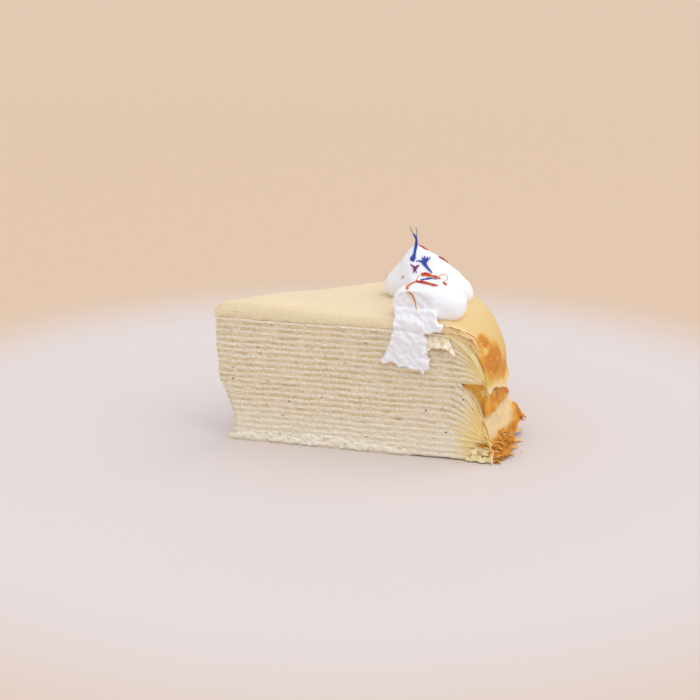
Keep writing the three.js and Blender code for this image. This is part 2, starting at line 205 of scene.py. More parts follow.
def grids_piece(name, grids, thickness, levels=0, sharp_angle=70.0, values=None, kept="browned"):
    """One piece made of open grids of points, each given that thickness in millimetres. values
    are numbers for the points, kept as an attribute."""
    points, faces = [], []
    for grid in grids:
        faces += grid_faces(*grid.shape[:2], start=sum(len(p) for p in points))
        points.append(grid.reshape(-1, 3))
    piece = piece_from(name, np.concatenate(points), faces, sharp_angle)
    if values is not None:
        keep_values(piece, kept, np.concatenate([v.ravel() for v in values]))
    modify(piece, "SOLIDIFY", thickness=thickness * MM, offset=0.0)
    if levels:
        modify(piece, "SUBSURF", levels=levels, render_levels=levels)
    only(piece)
    bpy.ops.object.shade_smooth_by_angle(angle=math.radians(sharp_angle))
    return piece


def modify(piece, kind, **settings):
    """Adds a modifier to the piece and applies it."""
    only(piece)
    modifier = piece.modifiers.new(kind.lower(), kind)
    for key, value in settings.items():
        setattr(modifier, key, value)
    bpy.ops.object.modifier_apply(modifier=modifier.name)


def keep_values(piece, name, values):
    attribute = piece.data.attributes.new(name, "FLOAT", "POINT")
    attribute.data.foreach_set("value", np.asarray(values, np.float32).ravel())


def points_of(piece):
    """The piece's vertices in millimetres."""
    flat = np.empty(len(piece.data.vertices) * 3, np.float32)
    piece.data.vertices.foreach_get("co", flat)
    return flat.reshape(-1, 3).astype(float) / MM


def move_points(piece, points):
    piece.data.vertices.foreach_set("co", (points * MM).astype(np.float32).ravel())
    piece.data.update()


def finish_piece(piece, material, slot, *nodes):
    """Gives the piece its material and ties it to the frame."""
    piece.data.materials.clear()
    piece.data.materials.append(material)
    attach(piece, BODY)
    if nodes:
        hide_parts(*nodes)
    only()
    return piece


# ---- Materials ----------------------------------------------------------------------------------
def linear(red, green, blue):
    """A colour from its everyday 0 to 255 values."""
    return tuple(((c / 255 + 0.055) / 1.055) ** 2.4 for c in (red, green, blue))


class Finish:
    """A material whose nodes are added in a few short calls."""

    def __init__(self, name, roughness, **sockets):
        self.material = bpy.data.materials.get(name) or bpy.data.materials.new(name)
        self.material.use_nodes = True
        self.tree = self.material.node_tree
        self.tree.nodes.clear()
        self.output = self.add("ShaderNodeOutputMaterial")
        self.surface = self.add("ShaderNodeBsdfPrincipled", {"Roughness": roughness, **sockets})
        self.tree.links.new(self.surface.outputs[0], self.output.inputs["Surface"])
        self.place = self.add("ShaderNodeTexCoord").outputs["Object"]

    def add(self, kind, inputs=(), **settings):
        made = self.tree.nodes.new(kind)
        for key, value in settings.items():
            setattr(made, key, value)
        for key, value in dict(inputs).items():
            if isinstance(value, bpy.types.NodeSocket):
                self.tree.links.new(value, made.inputs[key])
            else:
                made.inputs[key].default_value = value
        return made

    def noise(self, bump_mm, detail=3.0, stretch=(1, 1, 1), shift=0.0):
        """Cloudy noise from 0 to 1 with bumps of about that size."""
        spot = self.add("ShaderNodeMapping", {0: self.place, "Scale": stretch, "Location": (shift,) * 3})
        spot = spot.outputs[0]
        scale = 1 / (bump_mm * MM)
        return self.add("ShaderNodeTexNoise", {"Vector": spot, "Scale": scale, "Detail": detail}).outputs[0]

    def attribute(self, name):
        return self.add("ShaderNodeAttribute", attribute_name=name).outputs["Fac"]

    def ramp(self, value, low, high):
        ranged = {"Value": value, "From Min": low, "From Max": high}
        return self.add("ShaderNodeMapRange", ranged, interpolation_type="SMOOTHSTEP").outputs[0]

    def math(self, operation, a, b=0.0):
        return self.add("ShaderNodeMath", {0: a, 1: b}, operation=operation, use_clamp=True).outputs[0]

    def browning(self, attribute, bump_mm):
        """How browned the crepe is: the attribute with clouds of that size added to it."""
        clouds = self.math("MULTIPLY", self.noise(bump_mm, detail=6.0, shift=0.412), 0.5)
        return self.math("ADD", self.math("MULTIPLY", self.attribute(attribute), 0.62), clouds)

    def seam(self, bump_mm):
        """How near a border between layers is, with clouds of that size added to it."""
        clouds = self.math("MULTIPLY", self.noise(bump_mm, detail=5.0, shift=0.3), 1.1)
        return self.math("MULTIPLY", self.sum(self.attribute("seam"), clouds), 0.5)

    def sum(self, a, b):
        return self.add("ShaderNodeMath", {0: a, 1: b}, operation="ADD").outputs[0]

    def foot_bounce_and_smear(self):
        """Half way to 1 towards the foot, from 22 mm high down to 2 mm: painted light bouncing up from the
        floor onto the lower face, together with cream squeezed over the lowest layers.
        """
        height = self.add("ShaderNodeSeparateXYZ", {0: self.place}).outputs[2]
        return self.math("MULTIPLY", self.ramp(height, 0.022, 0.002), 0.55)

    def mixed(self, share, a, b):
        colours = {6: (*a, 1) if isinstance(a, tuple) else a, 7: (*b, 1) if isinstance(b, tuple) else b}
        return self.add("ShaderNodeMix", {0: share, **colours}, data_type="RGBA").outputs[2]

    def paint(self, colour):
        if isinstance(colour, tuple):
            self.surface.inputs["Base Color"].default_value = (*colour, 1)
        else:
            self.tree.links.new(colour, self.surface.inputs["Base Color"])

    def bump(self, height, depth_mm, strength=1.0):
        sockets = {"Height": height, "Distance": depth_mm * MM, "Strength": strength}
        normal = self.add("ShaderNodeBump", sockets).outputs[0]
        self.tree.links.new(normal, self.surface.inputs["Normal"])


def soft(weight, scale_mm):
    """Sockets for light that goes a little way into the food."""
    return {
        "Subsurface Weight": weight,
        "Subsurface Scale": scale_mm * MM,
        "Subsurface Radius": (1.0, 0.75, 0.5),
        "Specular IOR Level": 0.35,
    }


def shade(colour, factor):
    return tuple(min(1.0, c * factor) for c in colour)


def cream_finish(colours):
    """Pastry cream: pale, grainy, a little streaked along the cut and yellower at the rim."""
    f = Finish("pastry cream", 0.62, **soft(0.15, 1.2))
    base = tuple(colours.cream)
    streaks = f.noise(5.0, stretch=(1, 1, 4))
    colour = f.mixed(f.ramp(streaks, 0.4, 0.8), base, shade(base, 0.9))
    colour = f.mixed(f.ramp(f.seam(1.1), 0.36, 0.85), colour, tuple(colours.crepe))
    # Whitish flecks: painted highlights on the small lumps of the cut face, which also stand for crumbs of
    # cream.
    colour = f.mixed(f.ramp(f.noise(0.8, detail=4.0), 0.56, 0.72), colour, tuple(colours.foot_cream))
    # Lighter towards the foot: painted bounce light from below, and cream squeezed over the lowest layers.
    colour = f.mixed(f.foot_bounce_and_smear(), colour, tuple(colours.foot_cream))
    colour = f.mixed(f.attribute("margin"), colour, tuple(colours.frill))
    # Painted shade in the small holes of the cut face.
    colour = f.mixed(f.attribute("shaded_pit"), colour, tuple(colours.shaded_pit))
    f.paint(colour)
    f.bump(f.noise(0.6, detail=6.0), 0.3)
    return f.material


def crepe_finish(colours):
    """The cut edge of a thin crepe: tan, smeared with cream in places, browned at the rim."""
    f = Finish("crepe edge", 0.68, **soft(0.1, 0.8))
    base = tuple(colours.crepe)
    smears = f.noise(3.4, detail=5.0, stretch=(1, 1, 2.5), shift=0.7)
    darker = f.noise(7.0, stretch=(1, 1, 3), shift=0.1)
    blush = f.ramp(f.noise(8.0, stretch=(1, 1, 2.5), shift=0.55), 0.58, 0.76)
    colour = f.mixed(f.ramp(darker, 0.35, 0.75), base, shade(base, 0.8))
    colour = f.mixed(f.math("MULTIPLY", blush, 0.6), colour, tuple(colours.blush))
    colour = f.mixed(f.ramp(f.seam(1.1), 0.72, 0.42), colour, tuple(colours.cream))
    smeared = f.math("MULTIPLY", f.ramp(smears, 0.44, 0.66), 0.6)
    colour = f.mixed(smeared, colour, tuple(colours.cream))
    covered = f.ramp(f.noise(9.0, detail=4.0, stretch=(1, 1, 1.8), shift=0.9), 0.48, 0.64)
    colour = f.mixed(f.math("MULTIPLY", covered, 0.7), colour, tuple(colours.cream))
    # Whitish flecks: painted highlights on the small lumps of the cut face, which also stand for crumbs of
    # cream.
    colour = f.mixed(f.ramp(f.noise(0.8, detail=4.0), 0.56, 0.72), colour, tuple(colours.foot_cream))
    # Lighter towards the foot: painted bounce light from below, and cream squeezed over the lowest layers.
    colour = f.mixed(f.foot_bounce_and_smear(), colour, tuple(colours.foot_cream))
    colour = f.mixed(f.attribute("margin"), colour, tuple(colours.frill))
    brown = f.mixed(f.noise(1.6), tuple(colours.golden), tuple(colours.browned))
    colour = f.mixed(f.attribute("browned"), colour, brown)
    # Painted shade in the small holes of the cut face.
    colour = f.mixed(f.attribute("shaded_pit"), colour, tuple(colours.shaded_pit))
    f.paint(colour)
    f.bump(f.noise(0.5, detail=6.0), 0.22)
    return f.material


def top_finish(colours):
    """The top crepe: smooth and pale on the flat, golden over the rim, with browned blotches."""
    f = Finish("top crepe", 0.5, **soft(0.12, 1.5))
    rim = f.attribute("rim")
    cut = f.attribute("cut")
    clouds = f.noise(26.0, detail=2.0)
    flat = f.mixed(f.ramp(clouds, 0.35, 0.7), tuple(colours.top), shade(tuple(colours.top), 0.95))
    colour = f.mixed(rim, flat, tuple(colours.golden_top))
    crumbly = f.math("MULTIPLY", f.ramp(f.noise(1.1, detail=5.0, shift=0.6), 0.4, 0.7), 0.4)
    colour = f.mixed(cut, colour, f.mixed(crumbly, tuple(colours.top_cut), tuple(colours.foot_cream)))
    fine = f.noise(2.2, detail=6.0)
    amount = f.browning("browned", 4.0)
    colour = f.mixed(f.ramp(amount, 0.36, 0.48), colour, tuple(colours.golden))
    dark = f.math("MULTIPLY", f.ramp(amount, 0.44, 0.66), f.ramp(fine, 0.3, 0.5))
    colour = f.mixed(dark, colour, tuple(colours.browned))
    under = f.math("MULTIPLY", f.attribute("underside"), f.ramp(f.noise(3.0, shift=0.2), 0.35, 0.6))
    colour = f.mixed(under, colour, tuple(colours.blush))
    f.paint(colour)
    rough = f.math("MULTIPLY", f.noise(0.8, detail=6.0), f.attribute("cut"))
    f.bump(f.sum(f.math("MULTIPLY", f.noise(1.3, detail=5.0), 0.3), rough), 0.2)
    return f.material


def edge_finish(colours):
    """Thin crepe: pale, golden to orange where it browned and crisp brown where it is darkest."""
    f = Finish("browned crepe", 0.6, **soft(0.1, 0.8))
    amount = f.browning("browned", 4.0)
    skirt = tuple(colours.skirt)
    colour = f.mixed(f.ramp(f.noise(4.0), 0.35, 0.65), skirt, shade(skirt, 1.12))
    colour = f.mixed(f.ramp(amount, 0.3, 0.52), colour, tuple(colours.golden))
    colour = f.mixed(f.ramp(amount, 0.46, 0.8), colour, tuple(colours.browned))
    colour = f.mixed(f.ramp(amount, 0.82, 1.0), colour, tuple(colours.crisp))
    f.paint(colour)
    f.bump(f.noise(1.2, detail=5.0), 0.12)
    return f.material


def whipped_finish(colours):
    f = Finish("whipped cream", 0.5, **soft(0.2, 1.5))
    base = tuple(colours.whipped)
    f.paint(f.mixed(f.noise(6.0), base, shade(base, 0.98)))
    f.bump(f.noise(0.7, detail=5.0), 0.08)
    return f.material


def frill_finish(name, base, colours):
    """Thin crepe ends, pale with browned lips."""
    f = Finish(name, 0.6, **soft(0.15, 0.8))
    pale = f.mixed(f.ramp(f.noise(4.0), 0.4, 0.7), base, shade(base, 0.88))
    amount = f.browning("browned", 2.0)
    colour = f.mixed(f.ramp(amount, 0.4, 0.6), pale, tuple(colours.golden))
    f.paint(f.mixed(f.ramp(amount, 0.55, 0.8), colour, tuple(colours.browned)))
    f.bump(f.noise(0.8, detail=5.0), 0.08)
    return f.material


def lining_finish(colours):
    """The ochre inside of the fold between the two bundles of crepes."""
    f = Finish("fold lining", 0.6, **soft(0.1, 0.8))
    colour = f.mixed(f.ramp(f.noise(2.5), 0.35, 0.65), tuple(colours.lining), tuple(colours.golden))
    colour = f.mixed(f.ramp(f.noise(3.0, shift=0.4), 0.56, 0.72), colour, tuple(colours.frill))
    # Dark spots of the holes' painted shade on the fold lining.
    f.paint(f.mixed(f.ramp(f.noise(2.4, shift=0.8), 0.6, 0.8), colour, tuple(colours.shaded_pit)))
    f.bump(f.noise(0.9, detail=5.0), 0.12)
    return f.material


def flap_finish(colours):
    f = Finish("torn crepe", 0.65, **soft(0.15, 1.0))
    f.paint(f.mixed(f.ramp(f.noise(2.0), 0.4, 0.7), tuple(colours.foot_cream), tuple(colours.crepe)))
    f.bump(f.noise(0.6, detail=5.0), 0.15)
    return f.material


def foot_finish(colours):
    """Squeezed cream with flecks of crepe in it."""
    f = Finish("foot cream", 0.6, **soft(0.2, 1.5))
    base = tuple(colours.foot_cream)
    colour = f.mixed(f.noise(3.0), base, shade(base, 0.95))
    colour = f.mixed(f.ramp(f.noise(2.0, detail=5.0, shift=0.2), 0.55, 0.7), colour, tuple(colours.crepe))
    # Dark spots of painted shade, as in holes of the squeezed cream.
    f.paint(f.mixed(f.ramp(f.noise(1.4, shift=0.5), 0.7, 0.78), colour, tuple(colours.shaded_pit)))
    f.bump(f.noise(0.6, detail=5.0), 0.3)
    return f.material


def plain_finish(name, colour, roughness):
    f = Finish(name, roughness)
    f.paint(f.mixed(f.noise(0.6), tuple(colour), shade(tuple(colour), 0.75)))
    f.bump(f.noise(0.3), 0.05)
    return f.material


def petal_finish(name, base, tip, roughness):
    """A dried petal, from its base colour to its tip colour, with fine veins."""
    f = Finish(name, roughness, **{"Specular IOR Level": 0.3})
    colour = f.mixed(f.ramp(f.attribute("along"), 0.3, 1.0), tuple(base), tuple(tip))
    colour = f.mixed(f.ramp(f.noise(0.5, detail=4.0), 0.35, 0.7), colour, shade(tuple(base), 0.7))
    f.paint(colour)
    f.bump(f.noise(0.3, stretch=(1, 1, 0.3)), 0.05)
    return f.material


# ---- The stack of crepes and cream --------------------------------------------------------------
def droop_of(h):
    """Where a layer at nominal height h starts to droop, its rim and what it droops towards."""
    if h <= SPLIT + SEAM:
        bundle, rise = LOWER, (h / SPLIT) ** 3
    else:
        bundle, rise = UPPER, (h - SPLIT) / (STACK_HEIGHT - SPLIT)
    return mix(bundle["first"], bundle["last"], rise), bundle["rim"], bundle["pinch"]


def surface(h, r):
    """Height at radius r of the layer surface that lies at h in the middle of the cake."""
    start, rim, pinch = droop_of(h)
    s = np.clip((r - start) / (rim - start), 0, 1)
    return h - max(0.0, h - pinch) * s * s


# How far the tip is set back at each height, so that the upper half overhangs the lower.
TIP_HEIGHTS = [0, 8, 14, 19, 25, 31, 37, STACK_HEIGHT]
TIP_RADII = [6.8, 7.6, 6.6, 4.4, 2.3, 1.8, 1.3, 1.3]
FOOT_TIP = 4.8
TIP_ROUNDING = 2.2
TIP_UNEVEN = 0.35

LAYER_COLUMNS = np.array([-1, -0.93, -0.5, 0, 0.5, 0.93, 1])
VISIBLE_SEAM = 0.02  # between layers where they show, closer than the solids are
FACE_STATIONS = 300
CREAM_SHARES = np.linspace(0, 0.91, 48)
CREPE_SHARES = np.concatenate([CREAM_SHARES, np.linspace(0.91, 0.96, 4)[1:]])
POCKET_SHARES = np.linspace(0, 0.22, 8)
CREAM_ROWS = np.array([0.08, 0.27, 0.5, 0.73, 0.92])
CREPE_ROWS = np.array([0.15, 0.5, 0.85])
LIFTED = {"from_r": 80.5, "height": 1.0}  # the foot of the front face stands off the plate there

# Small holes in the front face: how far along it, and how high, in millimetres.
FRONT_HOLES = [
    (20, 37.8), (19, 40.5), (8.1, 31.1), (24.9, 50.1), (22.9, 26.4), (21.9, 16), (28.9, 12.1),
    (63.9, 45.5), (70.7, 42.1), (53.1, 2.4), (55.5, 36.7),
]
FRONT_SLITS = [(77.5, 15), (60.6, 35.5)]
HOLE = (0.5, 0.32, 0.6)  # half length, half height and depth
SLIT = (1.6, 0.22, 0.7)
SMALL_HOLE_DEPTH = 0.22
# How strongly the holes are darkened with painted shade.
HOLE_DARKNESS = 1.3
MARGIN_COLOUR = {"lower": 0.9, "upper": 0.6}  # how much of it each bundle takes at its rim
UPPERMOST_PROUD = 0.25  # the uppermost pair stands out of the cut faces by this much more


def holes(side, shape):
    """Holes in a cut face as rows of r, z, half length, half height and depth."""
    random = np.random.default_rng(31 + side)
    if side == FRONT:
        spots, slits = FRONT_HOLES, FRONT_SLITS
    else:
        spots = random.uniform([9, 2], [96, 50], (len(FRONT_HOLES), 2))
        slits = random.uniform([20, 5], [90, 45], (len(FRONT_SLITS), 2))
    found = [(*spot, *HOLE) for spot in spots] + [(*spot, *SLIT) for spot in slits]
    small = random.uniform([6, 1, 0.3, 0.2], [104, 51, 0.8, 0.4], (shape.small_holes, 4))
    return found + [(*spot, SMALL_HOLE_DEPTH) for spot in small]


def hole_depth(r, z, spots):
    """How deep the holes are at (r, z) of a cut face."""
    depth = np.zeros(np.broadcast(r, z).shape)
    for r0, z0, length, height, deep in spots:
        depth += deep * np.exp(-(((r - r0) / length) ** 2) - ((z - z0) / height) ** 2)
    return depth


def radii_at(h, tip, shares):
    """Radii of a layer's stations: evenly to where it droops, then at shares of its droop."""
    start, rim, _ = droop_of(h)
    return np.concatenate([np.linspace(tip, start, FACE_STATIONS)[:-1], start + (rim - start) * shares])


def seam_wave(h, r, side, shape):
    """How far the seam at height h wanders up or down where it shows on a cut face."""
    calm = min(1.0, h / 4, 0.8 + (STACK_HEIGHT - h) / 4) * ramp(1.0, 0.7, (r - 80) / 36)
    long = grain(r / 21, h / 8, 5.0 * side)
    short = grain(r / 4.2, h * 1.7, 9.0 * side) + grain(r / 1.2, h * 2.3, 7.0 * side)
    short = short + 1.3 * grain(r / 8, h / 3.5, 13.0 * side)
    lift = 0.0
    if h == 0 and side == FRONT:
        lift = LIFTED["height"] * ramp(LIFTED["from_r"], LIFTED["from_r"] + 4, r)
        lift = lift * (0.75 + 0.35 * grain(r / 3, 4.0))
    return calm * (shape.wave_long * long + shape.wave_short * short) + lift


def sway(r, z, side, shape):
    """Slow unevenness of a whole cut face, in and out."""
    return shape.face_sway * grain(r / 30, z / 22, 3.0 * side)


def layer_loops(low, high, tip, shares, rows, proud, spots, shape):
    """Loops of points of one layer, and how much painted shade of a hole there is at each."""
    edges, radii, pits = [], [], []
    for h, shift in ((low, VISIBLE_SEAM / 2), (high, -VISIBLE_SEAM / 2)):
        shift = shift if 0 < h else 0.0
        r = radii_at(h, tip, shares)
        width = np.sqrt(1 - np.clip(1 - (r - tip) / TIP_ROUNDING, 0, 0.97) ** 2)
        level = np.repeat(surface(h + shift, r)[:, None], len(LAYER_COLUMNS), axis=1)
        shaded_pit = np.zeros(level.shape)
        out = {}
        for side, column in SIDES.items():
            wave = seam_wave(h, r, side, shape)
            level[:, column] += wave
            if h == 0 and side == FRONT:
                level[:, 1] += 0.6 * wave
            shaded_pit[:, column] = hole_depth(r, level[:, column], spots[side])
            out[side] = sway(r, h, side, shape) - shape.recess - 0.6 * shaded_pit[:, column]
        points = place(r[:, None], LAYER_COLUMNS * width[:, None], level)
        for side, column in SIDES.items():
            points[:, column] += np.multiply.outer(out[side], face_normal(side))
        edges.append(points)
        radii.append(r[:, None])
        pits.append(shaded_pit)
    walls, wall_pits = {}, {}
    t = rows[None, :]
    r = mix(*radii, t)
    for side, column in SIDES.items():
        points = mix(edges[0][:, column, None], edges[1][:, column, None], t[..., None])
        z = points[..., 2]
        coarse = grain(r / 3.2, z / 1.8, 11.0 * side)
        fine = grain(r / 1.1, z / 0.7, 17.0 * side)
        wall_pits[side] = hole_depth(r, z, spots[side])
        thin = ramp(0.2, 1.2, points[:, -1:, 2] - points[:, :1, 2])
        lumps = shape.face_lumps * (coarse + 1.8 * fine)
        out = (proud + lumps) * thin * np.sin(math.pi * t) ** 0.9 - 0.4 * wall_pits[side]
        walls[side] = points + np.multiply.outer(out, face_normal(side))
    shaded_pit = ring(pits[0], wall_pits[BACK], pits[1], wall_pits[FRONT])
    # The second result is how dark the painted shade of the holes is at each point.
    return ring(edges[0], walls[BACK], edges[1], walls[FRONT]), np.clip(HOLE_DARKNESS * shaded_pit, 0, 1)


def margin_share(points, low):
    """How far each point is along the drooping margin of its layer, from 0 to 1 at the rim."""
    r = np.hypot(points[..., 0] - TIP_X, points[..., 1])
    start, rim, _ = droop_of(low)
    return (r - start) / (rim - start)


def seam_values(rows, crepe, stations):
    """For cream how near its borders each point is, for a crepe how near its middle."""
    columns = len(LAYER_COLUMNS)
    share = np.concatenate([np.zeros(columns), rows, np.ones(columns), rows[::-1]])
    off = np.abs(2 * share - 1)
    return np.tile(1 - 0.5 * off**2 if crepe else off**3, (stations, 1))


def browning(points, low):
    """How browned a crepe is: only in patches of the last stretch before the rim."""
    patchy = ramp(0.45, 0.75, 0.5 + 0.5 * grain_at(points, 3.0))
    return ramp(0.7, 1.0, margin_share(points, low)) * (0.1 + 0.9 * patchy)


class CREPECAKE_OT_layers(bpy.types.Operator):
    """Model every crepe and every layer of pastry cream, with the cut faces as the knife left them"""

    bl_idname = "crepecake.layers"
    bl_label = "Crepes and cream"

    def execute(self, context):
        shape, colours = context.scene.crepecake_shape, context.scene.crepecake_colours
        finishes = {"crepe": crepe_finish(colours), "cream": cream_finish(colours)}
        spots = {side: holes(side, shape) for side in SIDES}
        random = np.random.default_rng(7)
        for k in range(CREPES):
            low = k * PAIR
            seam = low + PAIR * CREPE_SHARE
            pocket = k == LOWER_CREPES - 1
            for kind, bottom, top in (("crepe", low, seam), ("cream", seam, low + PAIR)):
                tip = np.interp(bottom, TIP_HEIGHTS, TIP_RADII) + random.uniform(-TIP_UNEVEN, TIP_UNEVEN)
                if k == 0 and kind == "crepe":
                    tip = FOOT_TIP
                crepe = kind == "crepe"
                shares = CREPE_SHARES if crepe else POCKET_SHARES if pocket else CREAM_SHARES
                rows = CREPE_ROWS if crepe else CREAM_ROWS
                proud = shape.crepe_proud if crepe else shape.cream_proud
                proud = proud + UPPERMOST_PROUD * (k == CREPES - 1)
                loops, dark = layer_loops(bottom, top, tip, shares, rows, proud, spots, shape)
                name = f"{kind}_layer_{k + 1:02d}"
                piece = piece_from(name, loops, loop_body(loops, len(LAYER_COLUMNS)))
                # The holes' painted shade, read by the cream and crepe materials.
                keep_values(piece, "shaded_pit", dark)
                keep_values(piece, "seam", seam_values(rows, crepe, len(loops)))
                margin = MARGIN_COLOUR["lower" if bottom < SPLIT else "upper"]
                keep_values(piece, "margin", margin * ramp(0.2, 0.85, margin_share(loops, bottom)))
                if crepe:
                    keep_values(piece, "browned", browning(loops, bottom))
                slot = "crepe" if crepe else "pastry_cream"
                finish_piece(piece, finishes[kind], slot, f"{kind}_{k + 1:02d}")
        return {"FINISHED"}


# ---- The top crepe ------------------------------------------------------------------------------
SHOULDER = {"at_face": 91.0, "at_middle": 98.0, "rim": 112.4, "low": 32.0}
TOP_GAP = 0.04
TOP_PROUD = 0.05
DRAPE_THICKNESS = 0.95
TOP_HEM = 28.0
CROWN = 0.8
TOP_HALF_COLUMNS = 24
TOP_STATIONS = {"flat": 110, "shoulder": 44, "hem": 16}
TOP_WALL_ROWS = np.array([0.06, 0.18, 0.34, 0.52, 0.7, 0.86])
EDGE_ROUNDING = {"across": 2.8, "down": 2.2}
TOP_TIP = 0.7
TIP_DROP = {"down": 2.8, "over": 2.2}
TIP_SWELL = 1.2  # the top crepe is thicker towards the tip by this much

# Browned blotches of the drape: share across, height, half width, half height and strength.
BLOTCHES = [
    (-0.8, 40.0, 0.2, 6.0, 1.1), (-0.86, 48.2, 0.08, 2.2, 0.9), (-0.88, 44.3, 0.04, 1.4, -0.7),
    (-0.5, 33.0, 0.16, 3.0, 0.9), (-0.1, 38.0, 0.13, 4.0, 0.75), (0.12, 30.0, 0.2, 3.0, 0.7),
    (0.42, 43.0, 0.15, 5.0, 0.85), (0.72, 36.0, 0.14, 5.0, 0.95), (0.9, 46.0, 0.08, 4.0, 0.8),
]


def blotched(points):
    """How browned the drape is at each point."""
    u = np.arctan2(points[..., 1], points[..., 0] - TIP_X) / HALF_ANGLE
    total = 0.0
    for across, height, wide, tall, strength in BLOTCHES:
        away = ((u - across) / wide) ** 2 + ((points[..., 2] - height) / tall) ** 2
        total = total + strength * np.exp(-away)
    return np.clip(total, 0, 1)


def top_section(r, u):
    """How far the outside is let down at radius r and share u across."""
    distance = np.maximum(0.0, (1 - np.abs(u)) * r * math.sin(HALF_ANGLE))
    rounded = 1 - np.sqrt(1 - np.clip(1 - distance / EDGE_ROUNDING["across"], 0, 1) ** 2)
    return EDGE_ROUNDING["down"] * rounded - CROWN * (1 - u**2) * ramp(2, 30, r)


def edge_height(r):
    """Height of the top crepe's outer edge at radius r of a cut face."""
    turn = np.clip((r - SHOULDER["at_face"]) / (SHOULDER["rim"] - SHOULDER["at_face"]), 0, 1)
    return mix(SHOULDER["low"], TOP_Z - EDGE_ROUNDING["down"], np.sqrt(1 - turn**2))


def top_grids(shape):
    """The outside and the inside of the top crepe as grids, with u and how near the rim it is."""
    flat = np.linspace(0, 1, TOP_STATIONS["flat"])
    turn = np.linspace(0, 1, TOP_STATIONS["shoulder"] + 1)[1:] * math.pi / 2
    fall = np.linspace(0, 1, TOP_STATIONS["hem"] + 1)[1:]
    share = np.linspace(1, 0, TOP_HALF_COLUMNS + 1)
    # The columns crowd towards the cut faces where the slice is wide.
    nominal = np.concatenate([mix(TOP_TIP, 95, flat), np.full(len(turn) + len(fall), 95.0)])
    crowd = 1 + 1.7 * ramp(5, 60, nominal)
    half = 1 - (1 - share[None, :]) ** crowd[:, None]
    u = np.concatenate([-half, half[:, ::-1][:, 1:]], axis=1)
    shoulder = mix(SHOULDER["at_middle"], SHOULDER["at_face"], u**2)
    r_out, z_out, r_in, z_in, rim = (np.empty(u.shape) for _ in range(5))
    underside = STACK_HEIGHT + TOP_GAP
    a, b = len(flat), len(flat) + len(turn)
    r_out[:a] = TOP_TIP + (shoulder[:a] - TOP_TIP) * flat[:, None]
    drop = top_section(r_out[:a], u[:a])
    drop = drop + TIP_DROP["down"] * np.exp(-(r_out[:a] - TOP_TIP) / TIP_DROP["over"])
    z_out[:a] = TOP_Z - drop + TIP_SWELL * ramp(64, 22, r_out[:a])
    r_in[:a], z_in[:a] = r_out[:a], underside
    out, up = np.sin(turn)[:, None], np.cos(turn)[:, None]
    reach = SHOULDER["rim"] - shoulder[a:b]
    drop = top_section(shoulder[a:b], u[a:b])
    r_out[a:b] = shoulder[a:b] + reach * out
    z_out[a:b] = mix(SHOULDER["low"], TOP_Z - drop, up)
    r_in[a:b] = shoulder[a:b] + (reach - DRAPE_THICKNESS) * out
    z_in[a:b] = mix(SHOULDER["low"], underside, up)
    v = u[b:]
    hem = TOP_HEM + 1.2 * np.sin(5.1 * v + 0.6) + 0.8 * np.sin(13 * v)
    hem = hem + shape.hem_ragged * (grain(v * 14, 2.0) + 0.8 * grain(v * 45, 3.0))
    hem = np.minimum(hem, SHOULDER["low"] - 0.8)
    flare = (1.3 + 0.4 * np.sin(9 * v)) * fall[:, None]
    r_out[b:] = SHOULDER["rim"] + flare
    r_in[b:] = r_out[b:] - DRAPE_THICKNESS * (1 - 0.45 * fall[:, None])
    z_out[b:] = z_in[b:] = mix(SHOULDER["low"], hem, fall[:, None])
    rim[:a] = 0.5 * ramp(70, 100, r_out[:a])
    rim[a:b] = 0.5 + 0.5 * (1 - up) * np.ones_like(u[a:b])
    rim[b:] = 1.0
    # Soft unevenness of the outside, and gentle pleats where it hangs.
    outer = place(r_out, u, z_out)
    inner = place(r_in, u, z_in)
    bumps = grain_at(outer, 19)
    fine = grain_at(outer, 6, 9)
    hang = rim**3
    outer[..., 2] += (shape.top_waves * bumps + 0.05 * fine) * (1 - hang)
    pleat = hang * (0.55 * np.sin(17 * u + 2 * bumps) + 0.3 * fine)
    for skin in (outer, inner):
        skin += pleat[..., None] * outwards(u)
    rim[b:] -= 0.75 * fall[:, None]  # the hem is paler
    return u, outer, inner, rim


def stained(points, up):
    """How much of the browned underside shows at that share of the way up the top's cut."""
    r = np.hypot(points[..., 0] - TIP_X, points[..., 1])
    tip = np.exp(-(((r - 6) / 8) ** 2))
    patches = 0.25 + 0.12 * tip + 1.3 * grain(r / 7, 3.0)
    height = 0.3 + 0.45 * tip + 0.2 * grain(r / 4, 9.0)
    return np.clip(patches, 0, 1) * ramp(1, 0.3, up / height)


